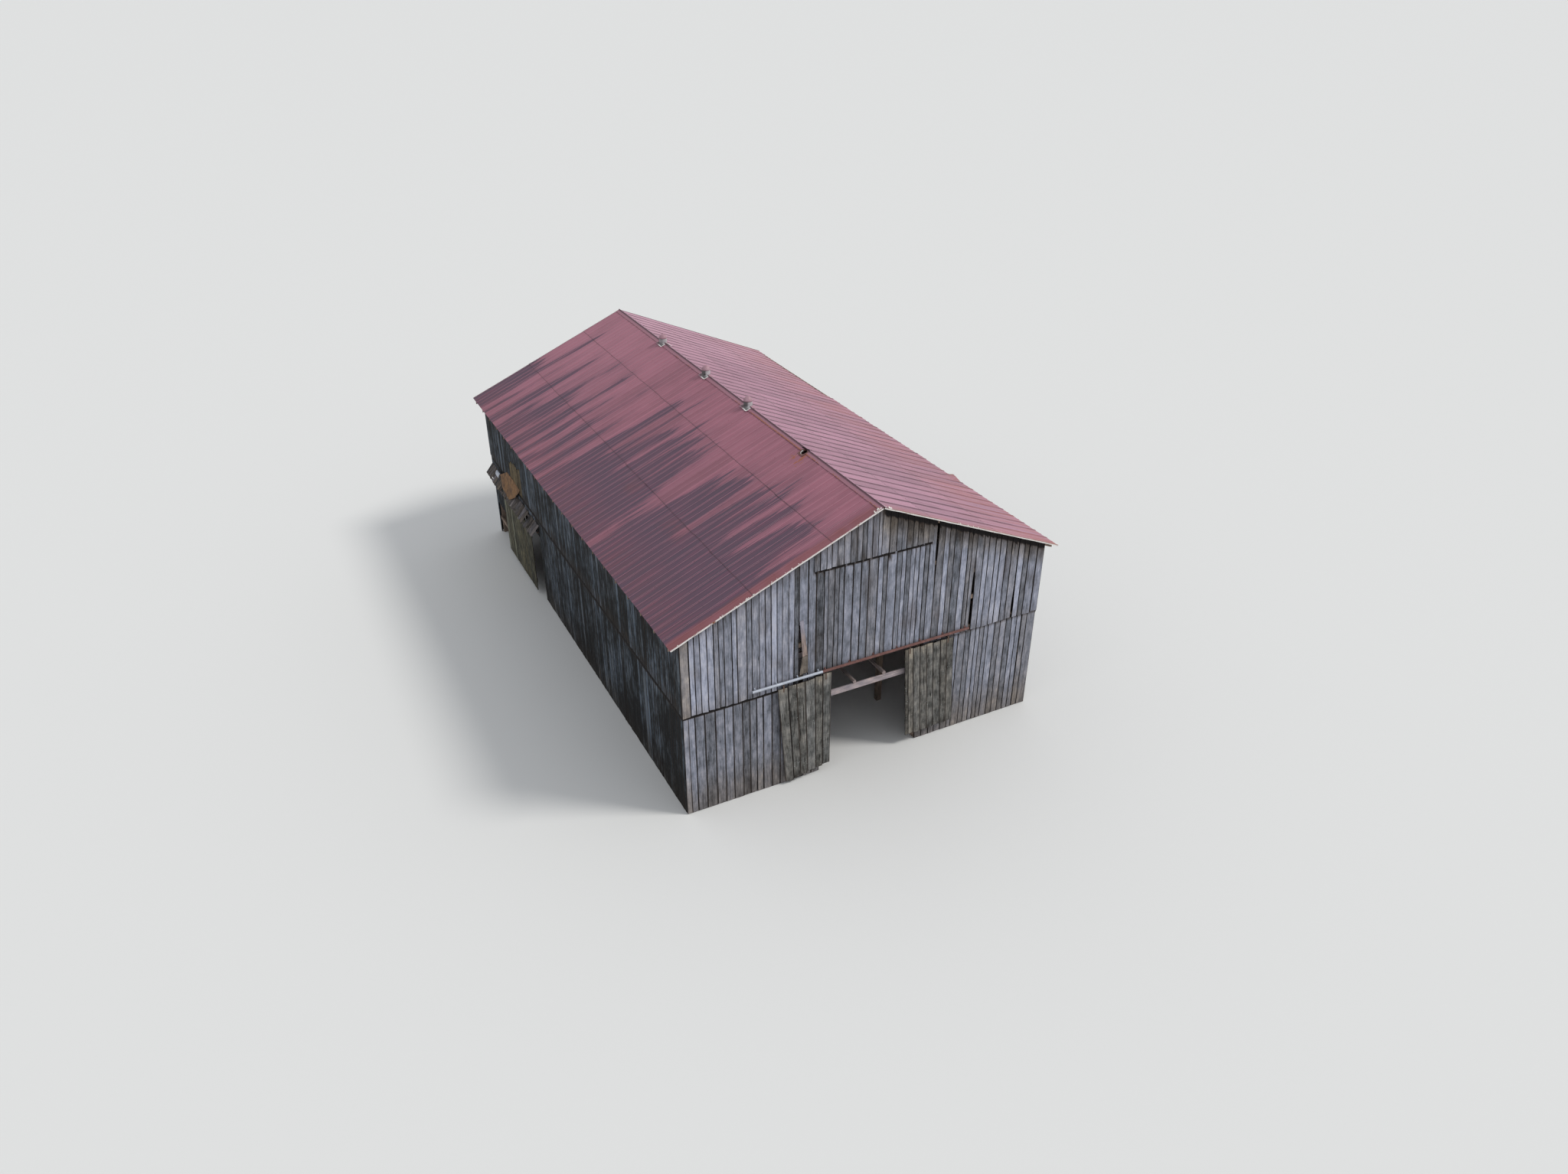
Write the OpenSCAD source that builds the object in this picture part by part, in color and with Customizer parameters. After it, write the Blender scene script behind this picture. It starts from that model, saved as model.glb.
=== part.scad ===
// Weathered timber barn with a low gable roof of ribbed red steel sheets.
// X runs right along the front gable, Y runs back along the ridge, Z is up.
// The origin is the middle of the footprint on the lowest ground level.
// All lengths are in millimetres.

/* [Barn] */
// Width over the upper boarding of the gable walls
barn_w = 13300; // [12000:10:15000]
// Length over the upper boarding of the side walls
barn_l = 22060; // [19000:10:26000]
// Height of the ridge line of the roof sheets
ridge_z = 9460; // [9000:5:10200]
// Height of the eave edge of the roof sheets
eave_z = 6475; // [6200:5:6900]
// How far the eaves reach past the side walls
eave_over = 355; // [300:1:500]
// How far the roof reaches past the gable walls
gable_over = 246; // [180:1:450]

/* [Boarding] */
// Thickness of every wall board
board_t = 25; // [19:1:38]
// Height of the lap where the upper boards hang over the lower ones
lap_z = 3830; // [3600:5:3960]
// How far the lower boards run up behind the upper ones
lap_over = 180; // [100:5:300]
// Height of the short lap in the front and back gable peaks
peak_lap_z = 7735; // [7300:5:8000]
// How far the short peak boards reach left of the middle
peak_left = 2220; // [1700:10:2300]
// How far the short peak boards reach right of the middle
peak_right = 2050; // [1700:10:2300]

/* [Damage] */
// Place of the short split high on the right of the front gable
split_high_x = 2280; // [2150:5:2500]
// Place of the long split that ends over the right door track
split_long_x = 3830; // [3650:5:4100]
// Place of the short split near the right corner
split_corner_x = 5595; // [5350:5:5900]
// Distance of the slot that a missing strip leaves, left of the middle
slot_x = 2628; // [2550:1:2900]
// Width of that slot
slot_w = 150; // [80:1:170]
// Length of the board that hangs loose beside the slot
loose_l = 1990; // [1700:10:2300]
// Width of the loose board
loose_w = 160; // [130:1:190]
// How far the loose board leans out of line, in degrees
loose_lean = 4.5; // [2:0.1:6]

/* [Frame] */
// Side of the square posts and plates
post_w = 180; // [150:5:220]
// Thickness of the side and gable nailing girts behind the lower boards
girt_t = 50; // [38:1:75]
// Height of a girt
girt_h = 150; // [100:5:200]
// Distance of the two inner post rows from the middle
inner_row_x = 1982; // [1900:2:2400]
// Depth of the rafters, square to the roof
rafter_h = 150; // [100:5:200]
// Thickness of the rafters
rafter_t = 50; // [38:1:75]
// Rafter pairs along the roof
rafter_count = 21; // [13:1:31]
// Thickness of the battens under the roof sheets
batten_t = 25; // [19:1:38]
// Battens on each slope
batten_rows = 11; // [7:1:15]

/* [Roof sheets] */
// Width that one sheet covers between its side seams
sheet_cover = 610; // [500:5:900]
// Thickness of the roof sheets
sheet_t = 4; // [2:1:6]
// Height of the pressed ribs
rib_h = 16; // [8:1:20]
// Width of a pressed rib at its foot
rib_w = 38; // [24:1:50]

/* [Front doors] */
// Width of the front doorway
doorway_w = 3760; // [3200:10:3780]
// Height of the front doorway
doorway_h = 3950; // [3920:5:4050]
// Width of a front door leaf at its top
leaf_w = 1915; // [1600:5:2000]
// Thickness of a door leaf over its boards and ledges
leaf_t = 50; // [40:1:70]
// How far the left leaf stands left of the doorway's middle
left_leaf_open = 1572; // [1200:1:1800]
// How far the right leaf stands right of the doorway's middle
right_leaf_open = 1172; // [850:1:1400]
// Height of the middle of the door track
track_z = 4072; // [4070:1:4200]
// Outer diameter of the slotted track tube that the door trolleys run in
track_d = 90; // [76:1:100]
// Wall of the track tube
track_wall = 3; // [2:0.5:4]
// Distance of the track's middle from the wall face
track_off = 80; // [70:1:95]

/* [Side door] */
// Where the side doorway starts behind the barn's middle
side_door_y = 3880; // [3700:10:4000]
// Width of the side doorway
side_door_w = 4425; // [3900:5:4500]
// Height of the side doorway
side_door_h = 2970; // [2700:10:3000]
// Width of the side door leaf
side_leaf_w = 4180; // [3700:10:4300]
// How far the leaf stands back from the doorway's near jamb
side_leaf_shift = 680; // [400:10:900]
// Length of the boarded hood over the side door track
hood_l = 7080; // [6700:10:7100]
// How far the hood stands out from the lower boards
hood_out = 370; // [300:5:400]
// Height of the hood's upper edge
hood_z = 3490; // [3420:5:3560]
// How far the hood falls to its outer edge
hood_drop = 450; // [360:5:500]

/* [Ridge ventilators] */
// Place of the rearmost ventilator behind the barn's middle
vent_back_y = 6050; // [5600:2:6800]
// Place of the second ventilator behind the barn's middle
vent_mid_y = 1690; // [1300:5:2300]
// Place of the third ventilator in front of the barn's middle
vent_front_y = 2010; // [1500:5:2500]
// Place of the broken ventilator in front of the barn's middle
broken_y = 6460; // [5900:1:6900]
// Largest diameter of a ventilator head
vent_d = 344; // [300:2:400]
// Height of a ventilator head
vent_h = 320; // [220:5:380]
// Diameter of the neck under a ventilator head
vent_neck_d = 320; // [280:2:340]
// Height of the ridge cap's ventilator seats over the ridge line
seat_rise = 60; // [55:5:90]
// How far the ridge cap's flanges reach down each slope
cap_w = 150; // [140:5:220]

/* [Hidden] */

round_fn = 48;
// Small gap kept where two pieces only rest against each other
seat = 0.3;

half_w = barn_w / 2;
half_l = barn_l / 2;
roof_x = half_w + eave_over;
roof_y = half_l + gable_over;
slope = (ridge_z - eave_z) / roof_x;
pitch = atan(slope);
slope_l = roof_x / cos(pitch);

// Planes of the two boarding layers, measured out from the middle
lower_w = half_w - board_t;
lower_l = half_l - board_t;
frame_w = lower_w - board_t;
frame_l = lower_l - board_t;
post_face_w = frame_w - girt_t;
post_face_l = frame_l - girt_t;
outer_row_x = post_face_w - post_w / 2;
gable_row_y = post_face_l - post_w / 2;

// Heights under the sloping roof: top of the sheets, less what lies square below it
function roof_top(x) = ridge_z - abs(x) * slope;
function under(d) = d / cos(pitch);
function roof_at(x, d) = roof_top(x) - under(d);
function roof_reach(z, d) = (ridge_z - under(d) - z) / slope;

batten_under = sheet_t + batten_t;
rafter_under = batten_under + rafter_h;
rafter_end = roof_x - 45;
side_plate_z = roof_at(post_face_w - post_w, rafter_under);
inner_plate_z = roof_at(inner_row_x - post_w / 2, rafter_under);
wall_top = roof_at(half_w, rafter_under) - 2;

// Inner frames stand on both sides of the side doorway and mirror to the front
frame_near = side_door_y - post_w / 2;
frame_far = side_door_y + side_door_w + post_w / 2 + 50;
frame_rows = [-frame_far, -frame_near, 0, frame_near, frame_far];

// The hole in the left wall: how far behind the doorway it starts, its height, and the
// width of the last board that still stands at the corner
hole_start = 910;
hole_h = 1565;
corner_strip = 120;

slot_z = lap_z + 255;
slot_h = 1880;

tie_z = 6010;
tie_h = 230;
tie_t = 60;
girt_levels_low = [670, 2300];
girt_levels_high = [5150, 6150];
girt_levels_peak = [6820];
rail_z = 2910;
rail_h = 210;
pole_d = 140;
pole_x = [-595, 520];

door_face = half_l + track_off + 35;
track_y = half_l + track_off;
left_track_end = 4350;
track_joint = 1890;
right_track_end = 3710;
track_slot = 20;
axle_r = 8;
hanger_t = 6;

side_track_x = lower_w + 70;
side_track_d = 40;
side_face_x = lower_w + 180;
side_wheel_r = 24;
side_wheel_w = 28;
side_wheel_rim = 3;
strap_over = 18;
hood_start = side_door_y - 50;
hood_end = hood_start + hood_l;
hood_t = 25;
hood_gap_y = side_door_y + 1165;
hood_gap_w = 255;
hood_fall = hood_drop / hood_out;
hood_rise = hood_t / cos(atan(hood_fall));

// The side track hangs so low that wheels and straps pass under the hood
strap_room = (side_face_x + hanger_t - lower_w) * hood_fall + strap_over + 25;
side_track_z = hood_z - strap_room - side_track_d / 2 - side_wheel_r - seat;

cap_gap = rib_h + seat;
cap_t = 5;
roll_r = 22;

vent_places = [vent_back_y, vent_mid_y, -vent_front_y];
broken_x = 120;
broken_d = 230;
saddle_foot = cap_w + 50;
saddle_l = vent_neck_d + 230;

// A box from its two opposite corners
module span(a, b) {
    translate(a) cube([b[0] - a[0], b[1] - a[1], b[2] - a[2]]);
}

module both_sides() {
    children();
    mirror([1, 0, 0]) children();
}

// Turns an outline drawn in X and Z into a slab from y0 to y1
module upright(y0, y1) {
    translate([0, y1, 0]) rotate([90, 0, 0]) linear_extrude(y1 - y0) children();
}

// Turns an outline drawn in Y and Z into a slab from x0 to x1
module sideways(x0, x1) {
    translate([x0, 0, 0]) rotate([90, 0, 90]) linear_extrude(x1 - x0) children();
}

// Turns an outline drawn in depth and Y into a length down the left slope
module down_left(from, to) {
    translate([0, 0, ridge_z]) rotate([0, -(90 + pitch), 0])
        translate([0, 0, from]) linear_extrude(to - from) children();
}

module post(x, y, top) {
    span([x - post_w / 2, y - post_w / 2, 0], [x + post_w / 2, y + post_w / 2, top]);
}

module post_row(y) {
    for (s = [-1, 1]) {
        post(s * outer_row_x, y, side_plate_z - post_w);
        post(s * inner_row_x, y, inner_plate_z - post_w);
    }
}

module gable_posts() {
    color("dimgray") {
        post_row(-gable_row_y);
        post_row(gable_row_y);
    }
}

module outer_posts() {
    color("dimgray")
        for (y = frame_rows, s = [-1, 1])
            post(s * outer_row_x, y, side_plate_z - post_w);
}

module inner_posts() {
    color("dimgray")
        for (y = frame_rows, s = [-1, 1])
            post(s * inner_row_x, y, inner_plate_z - post_w);
}

module tie_beams() {
    rows = concat([-gable_row_y], frame_rows);
    color("dimgray") {
        for (y = rows)
            span([-post_face_w, y + post_w / 2, tie_z],
                 [post_face_w, y + post_w / 2 + tie_t, tie_z + tie_h]);
        span([-post_face_w, gable_row_y - post_w / 2 - tie_t, tie_z],
             [post_face_w, gable_row_y - post_w / 2, tie_z + tie_h]);
    }
}

module side_plates() {
    color("dimgray") both_sides()
        span([post_face_w - post_w, -post_face_l, side_plate_z - post_w],
             [post_face_w, post_face_l, side_plate_z]);
}

module inner_plates() {
    color("dimgray") both_sides()
        span([inner_row_x - post_w / 2, -post_face_l, inner_plate_z - post_w],
             [inner_row_x + post_w / 2, post_face_l, inner_plate_z]);
}

// One rafter on the right slope, with its seats cut over the two plates
module rafter_outline() {
    difference() {
        polygon([
            [0.5, roof_at(0.5, batten_under)],
            [rafter_end, roof_at(rafter_end, batten_under)],
            [rafter_end, roof_at(rafter_end, rafter_under)],
            [0.5, roof_at(0.5, rafter_under)]
        ]);
        translate([post_face_w - post_w, side_plate_z - post_w]) square(post_w);
        translate([inner_row_x - post_w / 2, inner_plate_z - post_w]) square(post_w);
    }
}

module rafter_row() {
    step = (2 * lower_l - rafter_t) / (rafter_count - 1);
    for (i = [0 : rafter_count - 1]) {
        y = -lower_l + i * step;
        upright(y, y + rafter_t) rafter_outline();
    }
}

module left_rafters() {
    color("dimgray") mirror([1, 0, 0]) rafter_row();
}

module right_rafters() {
    color("dimgray") rafter_row();
}

module roof_battens() {
    batten_w = 100;
    step = (slope_l - 200) / (batten_rows - 1);
    color("gray") difference() {
        both_sides()
            for (i = [0 : batten_rows - 1])
                down_left(60 + i * step, 60 + i * step + batten_w)
                    translate([-batten_under, -roof_y + 20])
                        square([batten_t, 2 * roof_y - 40]);
        broken_hole();
    }
}

// Girts on the gable posts, set back so far that they stay under the rafters
module gable_girt(z, back, reach) {
    x = min(reach, roof_reach(z + girt_h, rafter_under) - 10);
    span([-x, -back, z], [x, -post_face_l, z + girt_h]);
}

module front_girts() {
    head_w = doorway_w / 2;
    color("gray") {
        for (z = girt_levels_low)
            both_sides()
                span([inner_row_x - post_w / 2, -frame_l, z],
                     [post_face_w, -post_face_l, z + girt_h]);
        translate([0, 0, doorway_h]) linear_extrude(girt_h)
            polygon([
                [-post_face_w, -post_face_l], [-post_face_w, -frame_l],
                [-head_w, -frame_l], [-head_w, -lower_l],
                [head_w, -lower_l], [head_w, -frame_l],
                [post_face_w, -frame_l], [post_face_w, -post_face_l]
            ]);
        for (z = concat(girt_levels_high, girt_levels_peak))
            gable_girt(z, lower_l, post_face_w);
    }
}

module back_girts() {
    color("gray") mirror([0, 1, 0]) {
        for (z = girt_levels_low) gable_girt(z, frame_l, post_face_w);
        gable_girt(lap_z, frame_l, post_face_w);
        for (z = concat(girt_levels_high, girt_levels_peak))
            gable_girt(z, lower_l, post_face_w);
    }
}

module side_girt(z, out, y0, y1) {
    span([post_face_w, y0, z], [out, y1, z + girt_h]);
}

module side_girts() {
    jamb0 = side_door_y - post_w;
    jamb1 = frame_far + post_w / 2;
    color("gray") {
        for (z = concat(girt_levels_low, [lap_z]))
            side_girt(z, frame_w, -post_face_l, post_face_l);
        mirror([1, 0, 0]) {
            for (z = girt_levels_low) {
                side_girt(z, frame_w, -post_face_l, side_door_y);
                side_girt(z, frame_w, side_door_y + side_door_w, post_face_l);
            }
            side_girt(side_door_h, frame_w, jamb0, jamb1);
            side_girt(lap_z, frame_w, -post_face_l, post_face_l);
        }
        both_sides()
            for (z = girt_levels_high)
                side_girt(z, lower_w, -post_face_l, post_face_l);
    }
}

// Rails across the middle bay that carry the two round poles
module tier_rails() {
    reach = inner_row_x + post_w / 2;
    second_y = frame_rows[0] - post_w / 2;
    color("darkgray") {
        span([-reach, -frame_l, rail_z], [reach, -post_face_l, rail_z + rail_h]);
        span([-reach, second_y - girt_t, rail_z], [reach, second_y, rail_z + rail_h]);
    }
}

module tier_poles() {
    y0 = -frame_l + 5;
    y1 = frame_rows[0] - post_w / 2 - 5;
    color("rosybrown")
        for (x = pole_x)
            translate([x, y1, rail_z + rail_h + pole_d / 2 + seat])
                rotate([90, 0, 0]) cylinder(d = pole_d, h = y1 - y0, $fn = round_fn);
}

module front_wall_left() {
    color("darkgray")
        span([-lower_w, -lower_l, 0], [-doorway_w / 2, -frame_l, lap_z + lap_over]);
}

module front_wall_right() {
    color("darkgray")
        span([doorway_w / 2, -lower_l, 0], [lower_w, -frame_l, lap_z + lap_over]);
}

// Outline of a gable above the lap, up to the underside of the battens
module gable_outline(low, d) {
    polygon([
        [-half_w, low], [half_w, low], [half_w, roof_at(half_w, d)],
        [0, roof_at(0, d)], [-half_w, roof_at(half_w, d)]
    ]);
}

// A split or missing strip between two boards, from low to high
module split_at(x, low, high, w) {
    translate([x - w / 2, low]) square([w, high - low]);
}

module front_wall_upper() {
    color("silver") upright(-half_l, -lower_l) difference() {
        gable_outline(lap_z, batten_under + 2);
        translate([-doorway_w / 2, lap_z - 1]) square([doorway_w, doorway_h - lap_z + 1]);
        split_at(split_high_x, peak_lap_z - 945, peak_lap_z + 135, 50);
        split_at(split_long_x, lap_z - 1, lap_z + 2715, 65);
        split_at(split_corner_x, lap_z - 1, lap_z + 910, 50);
        split_at(-slot_x, slot_z, slot_z + slot_h, slot_w);
    }
}

// Short boards of the peak, which hang over the upper ones behind a ledge line
module peak_outline(left, right) {
    intersection() {
        gable_outline(peak_lap_z, batten_under + 2);
        translate([-left, peak_lap_z]) square([left + right, ridge_z - peak_lap_z]);
    }
}

module front_wall_peak() {
    color("silver") upright(-half_l - board_t, -half_l) peak_outline(peak_left, peak_right);
}

// The board that has come loose beside its slot and leans out of line
module loose_board() {
    foot_x = slot_x - slot_w / 2 - loose_w / 2 - 9;
    color("rosybrown") translate([-foot_x, -seat, slot_z + 60]) rotate([0, -loose_lean, 0])
        span([-loose_w / 2, -half_l - board_t, 0], [loose_w / 2, -half_l, loose_l]);
}

module back_wall_lower() {
    color("darkgray") span([-lower_w, frame_l, 0], [lower_w, lower_l, lap_z + lap_over]);
}

module back_wall_upper() {
    color("silver") upright(lower_l, half_l) gable_outline(lap_z, batten_under + 2);
}

module back_wall_peak() {
    color("silver") upright(half_l, half_l + board_t) peak_outline(peak_right, peak_right);
}

module left_wall_front() {
    color("slategray")
        span([-lower_w, -frame_l, 0], [-frame_w, side_door_y, lap_z + lap_over]);
}

// Lower boards behind the side doorway, several of them broken off at knee height
module left_wall_back() {
    start = side_door_y + side_door_w;
    color("slategray") sideways(-lower_w, -frame_w) difference() {
        translate([start, 0]) square([frame_l - start, lap_z + lap_over]);
        translate([start + hole_start, -1])
            square([frame_l - start - hole_start - corner_strip, hole_h + 1]);
    }
}

module left_wall_over_door() {
    color("slategray")
        span([-lower_w, side_door_y, side_door_h],
             [-frame_w, side_door_y + side_door_w, lap_z + lap_over]);
}

module side_upper() {
    span([lower_w, -lower_l, lap_z], [half_w, lower_l, wall_top]);
}

module left_wall_upper() {
    color("slategray") mirror([1, 0, 0]) side_upper();
}

module right_wall_lower() {
    color("darkgray") span([frame_w, -frame_l, 0], [lower_w, frame_l, lap_z + lap_over]);
}

module right_wall_upper() {
    color("darkgray") side_upper();
}

// Profile of the sheets across the slope: flat pans between pressed ribs, two at
// each side seam and one in the middle of a sheet
sheet_count = round(2 * roof_y / sheet_cover);
cover = 2 * roof_y / sheet_count;
rib_pair = rib_w + 8;
rib_places = concat(
    [for (i = [0 : sheet_count - 1]) -roof_y + i * cover + rib_pair / 2 + 4],
    [for (i = [0 : sheet_count - 1]) -roof_y + (i + 0.5) * cover],
    [for (i = [1 : sheet_count]) -roof_y + i * cover - rib_pair / 2 - 4]
);

module sheet_profile() {
    translate([-sheet_t, -roof_y]) square([sheet_t, 2 * roof_y]);
    for (y = rib_places)
        polygon([[-sheet_t / 2, y - rib_w / 2], [rib_h, y], [-sheet_t / 2, y + rib_w / 2]]);
}

// The round hole left where a ventilator has blown off
module broken_hole() {
    translate([-broken_x, -broken_y, ridge_z - 400])
        cylinder(d = broken_d, h = 800, $fn = round_fn);
}

module roof_left() {
    color("firebrick") difference() {
        down_left(14, slope_l) sheet_profile();
        broken_hole();
    }
}

module roof_right() {
    color("indianred") difference() {
        mirror([1, 0, 0]) down_left(14, slope_l) sheet_profile();
        broken_hole();
    }
}

// Section of the ridge cap: two flanges over the ribs and a rolled top
module cap_section() {
    low = cap_gap;
    high = cap_gap + cap_t;
    polygon([
        [-cap_w, roof_top(cap_w) + under(low)], [0, ridge_z + under(low)],
        [cap_w, roof_top(cap_w) + under(low)], [cap_w, roof_top(cap_w) + under(high)],
        [0, ridge_z + under(high)], [-cap_w, roof_top(cap_w) + under(high)]
    ]);
    intersection() {
        translate([0, ridge_z + under(high)]) circle(r = roll_r, $fn = round_fn);
        translate([-roll_r, ridge_z + under(low) - 8])
            polygon([[0, 0], [roll_r, 8], [2 * roll_r, 0], [2 * roll_r, 80], [0, 80]]);
    }
}

module ridge_cap() {
    color("maroon") difference() {
        upright(-roof_y, roof_y) cap_section();
        broken_hole();
    }
}

// Thin folded edge strips that close the sheets along both gables
module rake_strip() {
    drop = 55;
    polygon([
        [roll_r, roof_at(roll_r, sheet_t + seat)], [roof_x - 6, roof_at(roof_x - 6, sheet_t + seat)],
        [roof_x - 6, roof_at(roof_x - 6, drop)], [roll_r, roof_at(roll_r, drop)]
    ]);
}

module rake_trim() {
    strip_t = 5;
    color("whitesmoke") both_sides() {
        upright(-roof_y, -roof_y + strip_t) rake_strip();
        upright(roof_y - strip_t, roof_y) rake_strip();
    }
}

// Everything below the top of the ridge cap, with a small gap over it
module below_cap() {
    high = under(cap_gap + cap_t) + seat;
    polygon([
        [-saddle_foot, roof_top(saddle_foot) + high], [0, ridge_z + high],
        [saddle_foot, roof_top(saddle_foot) + high], [saddle_foot, roof_top(saddle_foot) - 50],
        [-saddle_foot, roof_top(saddle_foot) - 50]
    ]);
    translate([0, ridge_z + high - seat]) circle(r = roll_r + 3, $fn = 8);
}

// Saddle that straddles the ridge cap under a ventilator and narrows upward to its body
module vent_saddle() {
    rim = 22;
    top = ridge_z + seat_rise;
    foot = roof_top(saddle_foot);
    intersection() {
        upright(-saddle_l / 2, saddle_l / 2) difference() {
            tapered(saddle_foot, vent_neck_d / 2 + 12, foot, foot + rim, top);
            below_cap();
        }
        sideways(-saddle_foot, saddle_foot)
            tapered(saddle_l / 2, vent_neck_d / 2 + 12, foot, foot + rim, top);
    }
}

// Outline with a flat foot, a low rim and sides that lean in to a narrower flat top
module tapered(foot_half, top_half, foot, rim, top) {
    polygon([
        [-foot_half, foot], [-foot_half, rim], [-top_half, top],
        [top_half, top], [foot_half, rim], [foot_half, foot]
    ]);
}

// Straight round body, an open slot over it and a domed hat
module vent_head() {
    body_r = vent_neck_d / 2;
    hat_r = vent_d / 2;
    body_h = vent_h * 0.43;
    brim_z = body_h + vent_h * 0.05;
    rotate_extrude($fn = round_fn)
        polygon([
            [0, -1], [body_r, -1], [body_r, body_h], [body_r * 0.75, body_h],
            [body_r * 0.75, brim_z], [hat_r, brim_z], [hat_r, brim_z + 12],
            [hat_r * 0.7, vent_h * 0.85], [0, vent_h]
        ]);
}

module ridge_vents() {
    color("lightgray")
        for (y = vent_places)
            translate([0, y, 0]) {
                vent_saddle();
                translate([0, 0, ridge_z + seat_rise]) vent_head();
            }
}

// Left slope between two heights over the sheets, from x0 to x1, that the flashing follows
module left_layer(x0, x1, low, high) {
    upright(-broken_y - 160, -broken_y + 160)
        polygon([
            [x0, roof_top(x0) + low], [x0, roof_top(x0) + high],
            [x1, roof_top(x1) + high], [x1, roof_top(x1) + low]
        ]);
}

// What the lost ventilator leaves: flashing and a curb around the open hole left of the
// ridge, and a scrap that lies across the ridge cap
module broken_vent() {
    plate_low = under(cap_gap + cap_t) + seat;
    plate_x = -roll_r - 6;
    curb_wall = 8;
    scrap = [460, 40, 5];
    color("lightgray") {
        difference() {
            union() {
                left_layer(-broken_x - 170, plate_x, plate_low, plate_low + 9);
                intersection() {
                    left_layer(-broken_x - 170, plate_x, plate_low, plate_low + 38);
                    translate([-broken_x, -broken_y, ridge_z - 200])
                        cylinder(d = broken_d + 2 * curb_wall, h = 400, $fn = round_fn);
                }
            }
            broken_hole();
        }
        translate([-18, -broken_y, ridge_z + under(cap_gap + cap_t) + roll_r + seat])
            rotate([0, 0, 104]) translate([-scrap[0] / 2, -scrap[1] / 2]) cube(scrap);
    }
}

// A length of slotted track tube, held off the wall by arms that reach over it
module track_run(x0, x1, arms) {
    top = track_z + track_d / 2;
    translate([x0, -track_y, track_z]) rotate([0, 90, 0])
        linear_extrude(x1 - x0) difference() {
            circle(d = track_d, $fn = round_fn);
            circle(d = track_d - 2 * track_wall, $fn = round_fn);
            translate([0, -track_slot / 2]) square([track_d, track_slot]);
        }
    for (i = [0 : arms - 1]) {
        x = x0 + 120 + i * (x1 - x0 - 240) / (arms - 1);
        span([x - 22, -half_l - 6, track_z - 60], [x + 22, -half_l, top + 45]);
        span([x - 16, -track_y - 14, top - 1], [x + 16, -half_l, top + 8]);
        translate([x, -track_y, top]) cylinder(r = 9, h = 20, $fn = 6);
    }
}

module left_door_track() {
    color("lightgray") track_run(-left_track_end, -track_joint, 4);
}

module right_door_track() {
    color("sienna") track_run(-track_joint, right_track_end, 7);
}

// A boarded leaf from its four corners, with three ledges on its inner face
module door_leaf(left_top, right_top, left_foot, right_foot, ledges) {
    thick = leaf_t / 2;
    upright(-door_face, -door_face + thick)
        polygon([left_foot, left_top, right_top, right_foot]);
    upright(-door_face + thick, -door_face + leaf_t)
        intersection() {
            polygon([left_foot, left_top, right_top, right_foot]);
            for (z = ledges)
                translate([left_top[0] - 500, z]) square([leaf_w + 1000, ledge_h]);
        }
}

door_top = track_z - track_d / 2 - 27;
ledge_levels = [850, 2180, 3515];
ledge_h = 150;
left_lean = 300;
right_lean = 243;
hanger_inset = 206;
strap_l = 240;

module left_front_door() {
    right = -left_leaf_open;
    left = right - leaf_w;
    color("gray")
        door_leaf([left, door_top - 90], [right, door_top], [left + left_lean, 75],
                  [right + 15, 365], ledge_levels);
}

module right_front_door() {
    left = right_leaf_open;
    color("gray")
        door_leaf([left, door_top], [left + leaf_w, door_top - 55],
                  [left + right_lean, 400], [left + leaf_w + right_lean, 435], ledge_levels);
}

// A trolley inside the track: two axles of small wheels that straddle the slot, and the
// plate that hangs through it and folds over the top of the leaf
module trolley(x) {
    wheel_r = 18;
    wheel_in = track_slot / 2 + 2;
    wheel_out = wheel_in + 11;
    inner_r = track_d / 2 - track_wall;
    axle_z = track_z - sqrt(inner_r * inner_r - wheel_out * wheel_out) + wheel_r + seat;
    for (dx = [-42, 42]) translate([x + dx, -track_y, axle_z]) rotate([90, 0, 0]) {
        for (z = [wheel_in, -wheel_out])
            translate([0, 0, z]) cylinder(r = wheel_r, h = wheel_out - wheel_in, $fn = 12);
        translate([0, 0, -wheel_out]) cylinder(r = 5, h = 2 * wheel_out, $fn = 6);
    }
    span([x - 50, -track_y - 4, axle_z - 10], [x + 50, -track_y + 4, axle_z + 8]);
    span([x - 22, -track_y - 4, door_top + 3], [x + 22, -track_y + 4, axle_z]);
    span([x - 22, -door_face - hanger_t, door_top + 3], [x + 22, -track_y + 4, door_top + 9]);
    span([x - 22, -door_face - hanger_t, door_top - strap_l], [x + 22, -door_face, door_top + 9]);
}

module left_door_hangers() {
    color("dimgray")
        for (x = [-left_leaf_open - leaf_w + hanger_inset, -left_leaf_open - hanger_inset])
            trolley(x);
}

module right_door_hangers() {
    color("dimgray")
        for (x = [right_leaf_open + hanger_inset, right_leaf_open + leaf_w - hanger_inset])
            trolley(x);
}

// The sloping boards over the side door track, with one board missing
module side_door_hood() {
    color("dimgray") difference() {
        upright(hood_start, hood_end)
            polygon([
                [-lower_w, hood_z], [-lower_w - hood_out, hood_z - hood_drop],
                [-lower_w - hood_out, hood_z - hood_drop + hood_rise],
                [-lower_w, hood_z + hood_rise]
            ]);
        span([-lower_w - hood_out * 0.75, hood_gap_y, hood_z - hood_drop],
             [-lower_w - hood_out * 0.2, hood_gap_y + hood_gap_w, hood_z + hood_rise + 5]);
    }
}

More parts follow.
